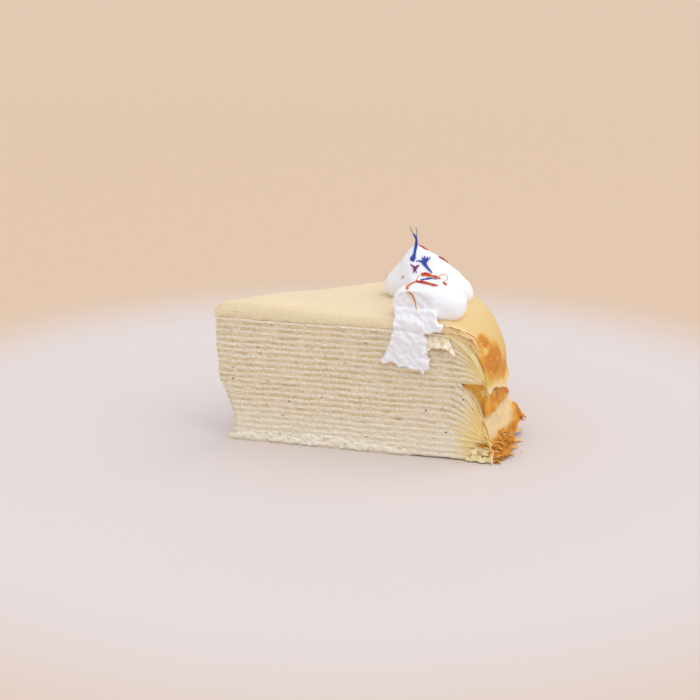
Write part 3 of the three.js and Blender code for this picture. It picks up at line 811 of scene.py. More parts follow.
def top_body(shape):
    """Loops of the top crepe, and the numbers that its material reads."""
    u, outer, inner, rim = top_grids(shape)
    walls, stains = {}, {}
    t = TOP_WALL_ROWS[None, :]
    for side, column in SIDES.items():
        outer[:, column] += TOP_PROUD * face_normal(side)
        inner[:, column] += TOP_PROUD * face_normal(side)
        from_tip = np.hypot(inner[:, column, 0] - TIP_X, inner[:, column, 1])
        wave = seam_wave(STACK_HEIGHT, from_tip, side, shape)
        inner[:, column, 2] += wave * ramp(SHOULDER["at_face"], 80, from_tip)
        bottom, top = inner[:, column, None], outer[:, column, None]
        points = mix(bottom, top, t[..., None])
        thick = np.linalg.norm(top - bottom, axis=-1)
        rough = 0.2 * grain_at(points, 4, 2.4) + 0.26 * grain_at(points, 1.1, 0.9) * ramp(0.8, 0.1, t)
        out = 0.08 * thick * np.sin(math.pi * t) + rough * np.sin(math.pi * t) ** 0.5
        walls[side] = points + np.multiply.outer(out, face_normal(side))
        stains[side] = stained(points, t)
    none = np.zeros_like(u)
    front, back = (np.repeat(rim[:, [column]], len(TOP_WALL_ROWS), axis=1) for column in SIDES.values())
    near = ramp(0.93, 1.0, np.abs(u)) * (1 - rim)
    values = {
        "underside": ring(none + 1, stains[BACK], none, stains[FRONT]),
        "rim": ring(rim, back, rim, front),
        "cut": ring(near, 1 - front, near, 1 - front),
    }
    return ring(inner, walls[BACK], outer, walls[FRONT]), values


class CREPECAKE_OT_top(bpy.types.Operator):
    """Model the thick top crepe, smooth on the flat and folded down over the rim"""

    bl_idname = "crepecake.top"
    bl_label = "Top crepe"

    def execute(self, context):
        shape, colours = context.scene.crepecake_shape, context.scene.crepecake_colours
        loops, values = top_body(shape)
        faces = loop_body(loops, 2 * TOP_HALF_COLUMNS + 1)
        piece = piece_from("top_crepe_fold", loops, faces, 50.0)
        values["browned"] = blotched(loops)
        for name, numbers in values.items():
            keep_values(piece, name, numbers)
        finish_piece(piece, top_finish(colours), "golden_top", "top_crepe")
        return {"FINISHED"}


# ---- The hanging crepe edges --------------------------------------------------------------------
MIDDLE_TOP = 31.4
LOWER_GAP = 0.3
MIDDLE_SHEET = {"columns": 360, "rows": 30, "thickness": 0.7, "narrow": 0.03}
LOWER_SHEET = {"columns": 520, "rows": 56, "thickness": 0.6, "narrow": 0.0}
FLAKE = {"u": -0.29, "spread": 0.11, "out": 2.8}


def middle_browned(u, drop):
    """How browned the middle edge is at each u, at that share of the way down."""
    patchy = 0.66 + 0.6 * grain(u * 9, drop * 3)
    return ramp(0.0, 0.7, drop + 0.25 * grain(u * 5, 31.0)) * patchy


def lower_browned(u, drop):
    """How browned the lower edge is: its foot, its big flake and a few streaks above them."""
    corner = ramp(0.4, 0.62, np.abs(u)) * (0.16 + 0.1 * grain(u * 14, 34.0))
    foot = 0.75 * ramp(0.66, 0.9, drop + corner + 0.12 * grain(u * 11, 33.0))
    flake = np.exp(-(((u - FLAKE["u"] - 0.02) / 0.12) ** 2)) * ramp(0.3, 0.6, drop)
    flake = flake * (0.75 + 0.5 * grain(u * 16, drop * 5, 36.0))
    patches = 0.6 * ramp(0.2, 0.7, grain(u * 5, drop * 3, 35.0)) * ramp(-0.2, 0.2, u)
    return np.maximum(np.maximum(foot, flake), patches)


def middle_path(u, shape):
    """Points down the middle edge at each u, as rows of (r, z)."""
    hem = 19.6 + 2.4 * np.exp(-(((u + 0.76) / 0.17) ** 2)) + 0.9 * np.sin(3.4 * u + 1.9)
    hem = hem + shape.hem_ragged * (grain(u * 12, 7.0) + grain(u * 50, 8.0))
    ripple = 0.5 * np.sin(15 * u + 1) + 0.4 * grain(u * 9, 5.0)
    radii = [109.8, 110.1, 110.7 + 0.2 * ripple, 111.5 + 0.6 * ripple, 112.7 + ripple]
    drops = [0, 0.25, 0.5, 0.78, 1]
    return np.stack([np.stack([r + 0 * u, mix(MIDDLE_TOP, hem, t)], -1) for r, t in zip(radii, drops)])


def lower_path(u, shape):
    """Points down the lower edge at each u: over the lower bundle, then out to a ragged foot."""
    tooth = 0.5 + 0.5 * grain(u * 34, 6.0) + 0.35 * grain(u * 90, 9.0)
    tooth = np.clip(tooth, 0, 1)
    ripple = 0.9 * np.sin(21 * u) + 0.5 * np.sin(47 * u + 1) + 0.5 * grain(u * 28, 12.0)
    flake = FLAKE["out"] * np.exp(-(((u - FLAKE["u"]) / FLAKE["spread"]) ** 2))
    start, rim, _ = droop_of(SPLIT)
    rows = []
    for s, off in ((0.28, 0), (0.52, 0.1), (0.74, 0.4), (0.86, 0.7)):
        r = start + (rim - start) * s
        rows.append((r + LOWER_GAP * 0.8 + off * flake, surface(SPLIT, r) + LOWER_GAP * 0.6 + 0 * u))
    short = flake / FLAKE["out"]
    corner = np.exp(-(((np.abs(u) - 0.86) / 0.12) ** 2))
    rows += [
        (113.9 + 0.2 * ripple + 0.7 * flake, 11 + 3 * short),
        (114.3 + 0.5 * ripple + 0.9 * flake + 0.3 * corner, 7.6 + 4 * short),
        (114.6 + 0.7 * ripple + 0.5 * tooth + flake + 1.1 * corner, 4 + 5.6 * short),
        (114.9 + 0.9 * ripple + 1.4 * tooth + 1.1 * flake + 2.2 * corner,
         0.8 + 2.4 * (1 - tooth) + 6.6 * short),
    ]
    return np.stack([np.stack(row, -1) for row in rows])


def hanging_sheet(name, path, browned, shape, columns, rows, thickness, narrow):
    """A thin crepe edge along the rim, on the path given at each u, as browned as it says. At
    its top it is narrower by the share narrow."""
    u = np.linspace(-1, 1, columns)
    lines = spline(path(u, shape), rows)
    drop = np.linspace(0, 1, rows)[:, None]
    across = u * (1 - narrow * (1 - drop) ** 0.7)
    points = place(lines[..., 0], across, np.maximum(lines[..., 1], thickness / 2 + 0.1))
    wrinkles = 0.35 * grain_at(points, 3.5, 5) * (0.3 + drop)
    crumple = 0.16 * grain_at(points, 1.3) * ramp(0.4, 0.9, drop)
    points = points + (wrinkles + crumple + thickness / 2)[..., None] * outwards(u)
    values = browned(u[None, :], drop) + 0 * points[..., 0]
    return grids_piece(name, [points], thickness, sharp_angle=50.0, values=[values])


class CREPECAKE_OT_edges(bpy.types.Operator):
    """Model the two browned crepe edges that hang down the rim under the top one"""

    bl_idname = "crepecake.edges"
    bl_label = "Hanging edges"

    def execute(self, context):
        shape, colours = context.scene.crepecake_shape, context.scene.crepecake_colours
        finish = edge_finish(colours)
        for name, node, path, browned, sheet in (
            ("middle_edge_sheet", "middle_crepe_edge", middle_path, middle_browned, MIDDLE_SHEET),
            ("lower_edge_sheet", "lower_crepe_edge", lower_path, lower_browned, LOWER_SHEET),
        ):
            piece = hanging_sheet(name, path, browned, shape, **sheet)
            finish_piece(piece, finish, "browned_crepe", node)
        return {"FINISHED"}


# ---- Whipped cream ------------------------------------------------------------------------------
# Each dollop is drawn tight over balls: x from the tip, y, height over the top, and radius.
FAR_DOLLOP = [
    (75.8, 1, 5.4, 5.6), (98.3, -8.5, 3.6, 7), (97.5, 1.5, 3.8, 6.6), (90, 6, 4, 7), (81, 7, 4, 5.6),
    (84, -9, 5, 6.5), (88, -3.5, 13, 6.2), (81.5, -3, 14.5, 5.2), (82.2, -3.5, 22.4, 0.8),
]
NEAR_DOLLOP = [(76.2, -27.4, 4.9, 7.2), (91, -29.2, 4.4, 7.4), (83.5, -27.6, 7, 7.2), (88, -20, 4.5, 7.2)]
CUT_OUT = 1.3
DOLLOP_SUNK = 3.0
SMEAR = {"thickness": 2.9, "out": 0.35}
# Outline of the smear on the front cut face, as (r, z) from its top left round its ragged foot.
SMEAR_OUTLINE = [
    (76, 61), (75.7, 55.1), (74.6, 48.5), (72.2, 43), (70.6, 38.8), (72.4, 38.4), (74.3, 40.1),
    (77.9, 37.7), (82, 37.2), (86.2, 36.8), (87.6, 35.2), (90.4, 38.3), (89.1, 44), (89, 48.8),
    (87.2, 51.6), (92, 52.8), (94.8, 53.3), (95.2, 55), (92.8, 56.8), (92, 61),
]


def dollop(name, balls):
    """The hull of balls of cream, cut flat where it sits in the top crepe."""
    only()
    for x, y, height, radius in balls:
        centre = Vector((TIP_X + x, y, TOP_Z + height)) * MM
        bpy.ops.mesh.primitive_ico_sphere_add(subdivisions=4, radius=radius * MM, location=centre)
        if bpy.context.object.mode != "EDIT":
            first = first_ball(name)
    bpy.ops.mesh.select_all(action="SELECT")
    bpy.ops.mesh.convex_hull()
    cut_through(Vector((0, 0, TOP_Z - DOLLOP_SUNK)), Vector((0, 0, -1)))
    only(first)
    return first


def first_ball(name):
    """Names the ball just added and opens it, so that the next ones join its mesh."""
    ball = bpy.context.object
    ball.name = ball.data.name = name
    ball.data.transform(ball.matrix_world)
    ball.location = (0, 0, 0)
    bpy.ops.object.mode_set(mode="EDIT")
    return ball


def cut_through(point, direction):
    """Removes what lies past a plane from the mesh in edit mode, and closes the cut."""
    bpy.ops.mesh.select_all(action="SELECT")
    bpy.ops.mesh.bisect(plane_co=point * MM, plane_no=direction, use_fill=True, clear_outer=True)


def smear_slab():
    """The cream that the knife dragged down the front face."""
    outline = on_face([r for r, _ in SMEAR_OUTLINE], [z for _, z in SMEAR_OUTLINE], SMEAR["out"])
    slab = piece_from("smear", outline, [list(range(len(outline)))[::-1]])
    only(slab)
    bpy.ops.object.mode_set(mode="EDIT")
    bpy.ops.mesh.select_all(action="SELECT")
    out = Vector(face_normal(FRONT)) * SMEAR["thickness"] * MM
    bpy.ops.mesh.extrude_region_move(TRANSFORM_OT_translate={"value": out})
    bpy.ops.mesh.select_all(action="SELECT")
    bpy.ops.mesh.normals_make_consistent(inside=False)
    only(slab)
    return slab


def face_place(points):
    """Where points are on the front face: how far along it, and how far out of it."""
    along = np.array([math.cos(HALF_ANGLE), FRONT * math.sin(HALF_ANGLE), 0.0])
    from_tip = points - on_face(0, 0, 0)
    return from_tip @ along, from_tip @ face_normal(FRONT)


def cut_share(points):
    """How much each point belongs to the cream that the knife cut and dragged."""
    return ramp(-1.6, 0.6, face_place(points)[1])


CREASE = {"z": 53.0, "slope": -0.1, "from_r": 76.0, "width": 0.75, "depth": 1.1}


def dragged(points):
    """The dragged cream with its crease, slanting wrinkles, thinner foot and torn outline."""
    r, out = face_place(points)
    z = points[:, 2]
    share = ramp(0.3, 1.6, out)
    level = CREASE["z"] + CREASE["slope"] * (r - CREASE["from_r"])
    crease = np.exp(-(((z - level) / CREASE["width"]) ** 2)) * ramp(88, 85, r)
    wrinkles = grain((r + 1.2 * z) / 2.6, (r - 0.8 * z) / 8, 3.0)
    lumps = grain(r / 1.7, z / 1.7, 5.0)
    foot = 0.7 * ramp(50, 42, z)
    head = 1.9 * ramp(54.5, 60.5, z) * ramp(93.5, 88, r)
    move = share * (0.8 * wrinkles + 0.5 * lumps - CREASE["depth"] * crease - foot - head)
    moved = points + np.multiply.outer(move, face_normal(FRONT))
    torn = mix(0.5, 1.0, ramp(55, 50, z)) * ramp(62, 59, z) * share
    moved += np.multiply.outer(torn * 0.9 * grain(r / 1.9, z / 1.9, 8.0), [1.0, -0.3, 0.0])
    moved[:, 2] += torn * 0.9 * grain(r / 1.6, z / 1.6, 13.0)
    return moved


def roughened(piece, name, size, height, group=None):
    """Displaces the piece by clouds of that size, in millimetres."""
    clouds = bpy.data.textures.new(name, "CLOUDS")
    clouds.noise_scale = size * MM
    clouds.noise_depth = 3
    settings = {"vertex_group": group} if group else {}
    modify(piece, "DISPLACE", texture=clouds, strength=height * MM, texture_coords="LOCAL", **settings)


class CREPECAKE_OT_whipped(bpy.types.Operator):
    """Model the two dollops of whipped cream and the smear that the knife dragged down the face"""

    bl_idname = "crepecake.whipped"
    bl_label = "Whipped cream"

    def execute(self, context):
        shape, colours = context.scene.crepecake_shape, context.scene.crepecake_colours
        far = dollop("whipped_dollops", FAR_DOLLOP)
        near = dollop("near_dollop", NEAR_DOLLOP)
        bpy.ops.object.mode_set(mode="EDIT")
        cut_through(Vector(on_face(0, 0, CUT_OUT)), Vector(face_normal(FRONT)))
        slab = smear_slab()
        only(far)
        near.select_set(True)
        slab.select_set(True)
        bpy.ops.object.join()
        modify(far, "REMESH", mode="VOXEL", voxel_size=shape.cream_voxel)
        modify(far, "SMOOTH", factor=0.5, iterations=10)
        cut = cut_share(points_of(far))
        self.mark(far, "cut", cut)
        self.mark(far, "soft", 1 - cut)
        modify(far, "SMOOTH", factor=0.5, iterations=shape.cream_smoothing, vertex_group="soft")
        roughened(far, "soft waves", 9.0, 1.5, "soft")
        move_points(far, dragged(points_of(far)))
        roughened(far, "torn cream", 2.4, 0.9, "cut")
        roughened(far, "crumbs of cream", 0.8, 0.5, "cut")
        only(far)
        bpy.ops.object.shade_smooth()
        finish_piece(far, whipped_finish(colours), "whipped_cream", "whipped_cream")
        return {"FINISHED"}

    def mark(self, piece, name, weights):
        """A vertex group with those weights."""
        group = piece.vertex_groups.new(name=name)
        for index in np.nonzero(weights > 0.01)[0].tolist():
            group.add([index], float(weights[index]), "REPLACE")


# ---- Petals -------------------------------------------------------------------------------------
# Paths of (x from the tip, y, height over the top), the way the flat side faces, and the widths
# at the start, middle and end, in millimetres.
ON_FAR = (0, -0.8, 0.6)
ON_RIDGE = (0.4, -0.3, 0.87)
ON_NEAR = (0, -0.35, 0.94)
DOWN_THE_CUT = (-0.4, -0.7, 0.6)
BEHIND = (-0.3, 0.7, 0.6)
BLUE_PETALS = [
    ([(81.4, -5.7, 19.2), (81.9, -4.9, 21.6), (82.5, -4.2, 25), (81.3, -4, 27.6)], ON_FAR, (1.0, 1.3, 0.3)),
    ([(80.4, -6.4, 16.2), (81.0, -5.9, 17.6), (81.6, -5.5, 20.2)], ON_FAR, (1.9, 2.2, 0.5)),
    ([(82.2, -4.2, 25), (80.6, -4, 28.2), (79.9, -4, 30.2)], ON_FAR, (0.35, 0.25, 0.2)),
    ([(82.4, -4.2, 25.4), (82.6, -4, 28.2), (82.1, -4, 30.0)], ON_FAR, (0.35, 0.25, 0.2)),
    ([(84.5, -8.5, 16.6), (85.8, -9.6, 14.8), (87.7, -11.2, 12.7)], ON_FAR, (1.8, 1.1, 0.5)),
    ([(84.9, -8.4, 16.4), (83.2, -8.0, 16.9), (81.6, -7.9, 17.0)], ON_FAR, (1.1, 0.7, 0.25)),
    ([(84.9, -8.4, 16.2), (84.2, -7.3, 18.6)], ON_FAR, (1.1, 0.7, 0.25)),
    ([(84.9, -8.4, 16.2), (85.4, -7.2, 19.1)], ON_FAR, (1.1, 0.8, 0.25)),
    ([(85.1, -8.4, 16.2), (86.6, -7.0, 18.6)], ON_FAR, (1.1, 0.7, 0.25)),
    ([(85.1, -8.4, 16.0), (87.8, -6.9, 18.4)], ON_FAR, (1.1, 0.7, 0.25)),
    ([(80.4, -25.8, 13.2), (84, -24.5, 13.9), (87.6, -22, 12.6)], ON_NEAR, (0.8, 1.4, 0.5)),
    ([(77.5, 1.5, 13.2), (76.4, 4.0, 11), (77.4, 6.2, 8.4)], BEHIND, (0.5, 1.4, 0.5)),
    ([(92.6, 3.6, 12.5), (94.6, 5.6, 10.4)], BEHIND, (1.0, 0.8, 0.3)),
    ([(92.6, 3.6, 12.5), (95.4, 3.2, 11.8)], BEHIND, (1.0, 0.7, 0.3)),
]
PURPLE_PETALS = [
    ([(79.4, -8.0, 16.0), (81, -9.2, 14.4), (81.4, -9.6, 13.8)], ON_FAR, (0.3, 1.1, 0.8)),
    ([(81, -9.4, 14.1), (82.9, -9.1, 15.6)], ON_FAR, (1.2, 0.9, 0.3)),
    ([(81.2, -9.3, 14.2), (80.4, -10.3, 12.8)], ON_FAR, (1.2, 0.7, 0.25)),
    ([(81.2, -9.3, 14.4), (81.6, -10.4, 12.6)], ON_FAR, (1.0, 0.6, 0.25)),
    ([(85.4, 6.0, 12.6), (87.4, 7.8, 10.4)], BEHIND, (0.5, 1.3, 0.4)),
]
RED_PETALS = [
    ([(83.2, -11.7, 12.2), (85.6, -11.6, 12.3), (88.2, -12.3, 11.3)], ON_FAR, (1.2, 1.6, 0.8)),
    ([(87.2, -11.9, 11.8), (89.2, -12.2, 11.2), (91, -12.6, 10.5)], ON_FAR, (0.7, 1.1, 0.5)),
    ([(78.6, -27.4, 12.5), (81.2, -29.7, 13.1), (84.6, -31.8, 12.4)], ON_NEAR, (0.9, 1.5, 0.9)),
    ([(79.6, -28.9, 12.9), (82.4, -30.4, 12.9), (85.2, -31.2, 12.4)], ON_NEAR, (0.5, 0.8, 0.5)),
    ([(84, -31.4, 12.7), (85.4, -31.4, 12.4), (86.4, -31.2, 12.2)], ON_NEAR, (1.1, 0.9, 0.4)),
    ([(88.6, -28.6, 12.8), (89.8, -31, 12.2)], ON_NEAR, (0.5, 1.3, 0.4)),
    ([(83.2, -3.2, 21.8), (85, -3.6, 20.6), (86.9, -3.8, 19.6)], ON_RIDGE, (0.6, 1.5, 0.6)),
    ([(91.0, -5, 17.5), (93, -5.3, 16.4), (95.2, -5.6, 14.8)], ON_RIDGE, (0.5, 1.3, 0.5)),
    ([(80.4, 4.6, 13.6), (81.6, 6.8, 11.4), (83.9, 8.6, 9)], BEHIND, (0.6, 1.6, 0.7)),
    ([(90.2, 1.2, 15.6), (92.9, 2.2, 14)], BEHIND, (0.4, 1.2, 0.4)),
]
PINK_PETALS = [
    ([(76.0, -7.0, 9.8), (76.4, -7.8, 10.6), (76.6, -8.2, 11.4)], ON_FAR, (0.4, 0.8, 0.3)),
    ([(74.2, 1.2, 6.4), (74, 2.6, 8.2)], BEHIND, (0.4, 1.0, 0.4)),
]
THREADS = [
    ([(79.5, -26.6, 13), (76.2, -27.6, 12), (74.6, -28.8, 11.2), (74.9, -31, 10)],
     ON_NEAR, (0.7, 0.9, 0.9)),
    ([(75.3, -28.2, 11.6), (74.7, -30.2, 10.6), (75.5, -32.7, 9), (77.6, -33.5, 4)],
     DOWN_THE_CUT, (0.9, 0.7, 0.4)),
    ([(78.4, -27.6, 12.8), (79.2, -24.4, 14.6), (81.8, -23, 15), (84.6, -23.6, 14.4)],
     ON_NEAR, (0.35, 0.3, 0.3)),
    ([(87.2, -24.4, 13.6), (88.9, -22.8, 14.8), (91, -22.8, 14.8), (91.6, -24.6, 13.4),
      (89.6, -25.4, 12.9)], ON_NEAR, (0.35, 0.3, 0.3)),
]
PETAL_THICKNESS = 0.22
PETAL_COLUMNS = 5


def ribbon(path, facing, widths, ground, samples=14):
    """A grid of points along a path laid on the cream, and how far along each one is."""
    middle = spline([(TIP_X + x, y, TOP_Z + height) for x, y, height in path], samples)
    laid = []
    for spot in middle:
        found, normal, _, distance = ground.find_nearest(Vector(spot) * MM)
        sunk = (Vector(spot) * MM - found).dot(normal) < 0
        lift = np.array(found) / MM + np.array(normal) * 0.3
        laid.append(lift if sunk or distance < 1.6 * MM else spot)
    middle = np.array(laid)
    for _ in range(3):
        middle[1:-1] = (middle[:-2] + 2 * middle[1:-1] + middle[2:]) / 4
    face = np.array(facing) / np.linalg.norm(facing)
    along = np.gradient(middle, axis=0)
    side = np.cross(along, face)
    side /= np.linalg.norm(side, axis=1, keepdims=True)
    t = np.linspace(0, 1, samples)
    width = np.interp(t, [0, 0.5, 1], widths)
    width = width * (1 + 0.15 * grain(t * 6, middle[0][0], middle[0][1]))
    across = np.linspace(-0.5, 0.5, PETAL_COLUMNS)
    cup = 0.5 * across**2 * width[:, None]
    points = middle[:, None] + side[:, None] * (across * width[:, None])[..., None]
    points = points + face * cup[..., None]
    return points, np.broadcast_to(t[:, None], points.shape[:2])


class CREPECAKE_OT_petals(bpy.types.Operator):
    """Lay the dried petals and the saffron threads on the whipped cream"""

    bl_idname = "crepecake.petals"
    bl_label = "Petals"

    def execute(self, context):
        colours = context.scene.crepecake_colours
        cream = bpy.data.objects["whipped_dollops"]
        ground = BVHTree.FromObject(cream, context.evaluated_depsgraph_get())
        kinds = [
            ("blue_petals", BLUE_PETALS, "blue petal", colours.blue, colours.lilac, 0.6, "blue_petal"),
            ("purple_petals", PURPLE_PETALS, "purple petal", colours.purple, colours.purple, 0.6,
             "blue_petal"),
            ("red_petals", RED_PETALS, "red petal", colours.red, colours.saffron, 0.6, "red_petal"),
            ("pink_petals", PINK_PETALS, "pink petal", colours.pink, colours.pink, 0.6, "red_petal"),
            ("saffron_threads", THREADS, "saffron", colours.saffron, colours.ochre, 0.5, "red_petal"),
        ]
        for name, petals, material, base, tip, roughness, slot in kinds:
            grids, shares = zip(*(ribbon(*petal, ground) for petal in petals))
            piece = grids_piece(name, grids, PETAL_THICKNESS, 1, 60.0, shares, "along")
            finish_piece(piece, petal_finish(material, base, tip, roughness), slot, "whipped_cream")
        return {"FINISHED"}


# ---- Small things: frills, flap, foot cream, flakes, seeds and crumbs ----------------------------
# Crepes whose margin stands out of the cut faces where it droops, by their height in the stack.
FRILL_HEIGHTS = [6.6, 9.2, 12.9, 17.2, 21.4, 25.2, 28.2, 30.4, 36.4, 39.6, 43.2, 46.4, 49.2, 51.2]
FRILL_FROM = 0.3  # as a share of the droop


def turned(points, values, turn):
    """A grid and its values, with its columns the other way round where turn is -1."""
    values = np.broadcast_to(values, points.shape[:2])
    return points[:, ::turn], values[:, ::turn]


def frill_grid(h, random, side):
    """The margin of a crepe where it stands out of a cut face, on down to the pinch and past it."""
    start, rim, pinch = droop_of(h)
    shares = np.linspace(FRILL_FROM, 0.98, 7)
    path = [(start + (rim - start) * share, surface(h, start + (rim - start) * share)) for share in shares]
    if h > SPLIT:
        path.append((rim - 0.3, pinch - random.uniform(0.5, 2.5)))
    elif h > LOWER["pinch"]:
        path.append((rim + random.uniform(0.2, 0.9), pinch - random.uniform(1.5, 3.0)))
        path.append((rim + random.uniform(0.8, 2.0), pinch - random.uniform(4.0, 6.5)))
    else:
        path.append((rim + random.uniform(0.8, 1.8), max(0.6, h - random.uniform(0.6, 1.6))))
    line = spline(path, 44)
    t = np.linspace(0, 1, len(line))[:, None]
    v = np.linspace(0, 1, 7)[None, :]
    seed = random.uniform(0, 50)
    waves = grain(line[:, :1] / 2.4, line[:, 1:] / 2.4, seed)
    calm = 0.45 if h > SPLIT else 1.0
    stand = calm * (0.2 + 0.3 * ramp(0, 0.5, t) + 0.35 * waves) * ramp(0, 0.18, t)
    out = mix(-0.6, stand, v)
    z = line[:, 1:] - 0.35 * v**2 * ramp(0, 0.3, t) + 0.2 * waves * v
    r = line[:, :1] + 0.25 * v * grain(line[:, 1:] / 1.7, seed + 7)
    points = on_face(r, np.maximum(0.35, z), out, side)
    lips = 0.8 * ramp(0.5, 1.0, v) * ramp(0.4, 0.8, grain(line[:, 1:] / 3.0, seed + 3) + 0.6 * t)
    return turned(points, calm * lips, side)


# The lowest crepes end in ruffles at the corners: height, reach past the rim and phase of the waves.
RUFFLES = [(1.0, 3.4, 0.2), (3.1, 2.2, 2.1), (5.0, 3.0, 4.0), (7.0, 1.6, 5.3), (9.0, 2.3, 0.9)]
RUFFLE_FROM = 104.5
RUFFLE_WIDTH = 0.13  # as a share of half the slice


def ruffle_grid(height, reach, phase, side):
    """The wavy end of one of the lowest crepes at a corner of the rim."""
    a = np.linspace(0, 1, 30)[:, None]
    v = np.linspace(0, 1, 16)[None, :]
    waves = np.sin(2.6 * math.pi * v + phase) + 0.7 * grain(v * 4, a * 2, phase)
    r = RUFFLE_FROM + (RIM_RADIUS - RUFFLE_FROM + reach * (0.7 + 0.4 * np.sin(5 * v + phase))) * a
    z = height * (1 - 0.3 * a**2) + waves * 0.95 * a**1.5
    points = place(r, side * (1 - RUFFLE_WIDTH * v), np.maximum(z, 0.35))
    out = (0.5 + 0.8 * a * np.sin(phase + 3 * a)) * (1 - v) ** 2
    points = points + np.multiply.outer(out, face_normal(side))
    browned = a**4 * (0.35 + 0.9 * grain(v * 3, phase)) + 0.3 * a**3
    return turned(points, browned, side)


# Crepe ends that stand like curtains at the foot of a corner: (r, out) along their foot, height
# of the foot, and how tall they are.
CURTAINS = [
    ([(105, 0.2), (107.2, 0.9), (109.4, 0.1), (111.6, 1.4), (113.8, 0.2), (115.8, 1.5), (116.4, 2.6)],
     0.5, 2.7),
    ([(106.6, 0.2), (108.6, 1.0), (110.6, 0.0), (112.6, 1.3), (114.8, 0.4), (116, -1.2)], 3.6, 2.3),
]


def curtain_grid(path, foot, tall, side):
    """The wavy end of a crepe that stands on its foot at a corner and leans away."""
    line = spline(path, 60)
    t = np.linspace(0, 1, len(line))[:, None]
    v = np.linspace(0, 1, 9)[None, :]
    seed = foot + side
    height = tall * (0.55 + 0.5 * ramp(0, 0.3, t) + 0.5 * grain(t * 12, seed)) * ramp(1.1, 0.8, t)
    out = line[:, 1:] + v**1.5 * (0.9 * grain(t * 8, seed + 3) - 0.3) + 0.4 * grain(t * 16, v * 3, seed)
    r = line[:, :1] + 0.6 * v * grain(t * 5, seed + 6)
    points = on_face(r, foot + height * v, out, side)
    browned = 0.5 * ramp(0.6, 1.0, v) * ramp(0, 0.6, grain(t * 7, seed + 8)) + 0.25 * ramp(0.5, 1, t)
    return turned(points, browned, side)


def crescent_grid(side):
    """Crepe ends that fill the bend between the upper bundle and the fold of the top crepe."""
    turn = np.linspace(0.14, 0.975, 40)[:, None] * math.pi / 2
    v = np.linspace(0, 1, 17)[None, :]
    reach = SHOULDER["rim"] - SHOULDER["at_face"] - DRAPE_THICKNESS
    r = SHOULDER["at_face"] + reach * np.sin(turn)
    high = mix(SHOULDER["low"], STACK_HEIGHT + TOP_GAP, np.cos(turn)) + 0.2
    low = surface(STACK_HEIGHT - 1.2, r) - 0.2
    lips = np.abs(np.sin(math.pi * (2.5 * v + 0.3 * grain(r / 5, v, 2.0))))
    out = -0.1 + 0.35 * lips + 0.25 * grain(r / 1.8, v * 3, 6.0)
    points = on_face(r + 0 * v, mix(low, high, v), out, side)
    return turned(points, 0.4 * lips**2 * ramp(0, 0.6, grain(r / 3.5, v * 2, 8.0)), -side)


def lining_grid(side):
    """The crepe that lines the fold between the two bundles, a little inside the cut face."""
    r = np.linspace(101.4, 112.6, 26)[:, None]
    v = np.linspace(0, 1, 14)[None, :]
    low, high = surface(SPLIT, r) + 0.15, LOWER_CREPES * PAIR - 0.05
    folds = 0.5 * np.sin(5 * v + 0.5 * r) + 0.6 * grain(r / 2.5, v * 3, 4.0)
    out = mix(-1.5, -0.5, ramp(0.6, 1, v)) + 0.55 * folds * ramp(1, 0.7, v) - 0.06 * (r - 101)
    points = on_face(r + 0 * v, mix(low, high, v), out, side)
    return points[:, ::-side]


LINING_THICKNESS = 0.4
FLAP = {"root": (87.6, 97.4), "foot": (88.8, 101.0), "low": 50.6, "thickness": 0.5}


def flap_grid():
    """The torn end of the uppermost crepe, curled down in front of the front face."""
    t = np.linspace(0, 1, 40)
    root, foot = mix(*FLAP["root"], t), mix(*FLAP["foot"], t)
    top = surface(FLAP["low"], root) - 0.1
    ragged = 0.9 * grain(t * 7, 1.0) + 0.5 * grain(t * 22, 2.0)
    drop = 5.4 + 1.4 * t - 2.2 * np.sin(math.pi * t) + ragged
    rows = [(0, -1.0, 0.0), (0.0, 0.6, 0.06), (0.3, 1.1, 0.3), (0.7, 1.3, 0.68), (1.0, 2.3, 1.0)]
    grid = [on_face(mix(root, foot, a), top - drop * down, out + 0.7 * t * a) for a, out, down in rows]
    grid = spline(np.stack(grid), 26)
    lumps = grain_at(grid, 1.9) + 0.5 * grain_at(grid, 0.8)
    return grid + np.multiply.outer(0.4 * lumps, face_normal(FRONT))


# Lips of crepe on the cut faces: lines of (r, z), their width, how far they stand out, from how
# far out.
CORNER_FOLDS = [
    ([(93.6, 54.8), (97, 54.9), (100.1, 54.3), (104.5, 53.0), (108.2, 50.6), (110.9, 46.6)],
     0.5, 0.3, 0.0),
    ([(93.8, 51.7), (96.8, 52.3), (100.4, 52.1), (103.9, 51.2), (107, 49.2), (109.6, 45.8)],
     0.6, 0.35, 0.05),
    ([(100.6, 53.6), (102.6, 51.4), (105.2, 50.6), (107.6, 50.2)], 0.6, 0.3, 0.15),
    ([(103.2, 49.6), (106.2, 47.4), (108.6, 44.0), (110.2, 39.6)], 0.7, 0.4, -0.15),
]
TIP_LIP = ([(7.6, 54.4), (9.8, 55.4), (12.4, 55.1), (14.4, 53.4)], 0.6, 0.4, 0.05)
LIP_UNDER_EDGE = 0.6


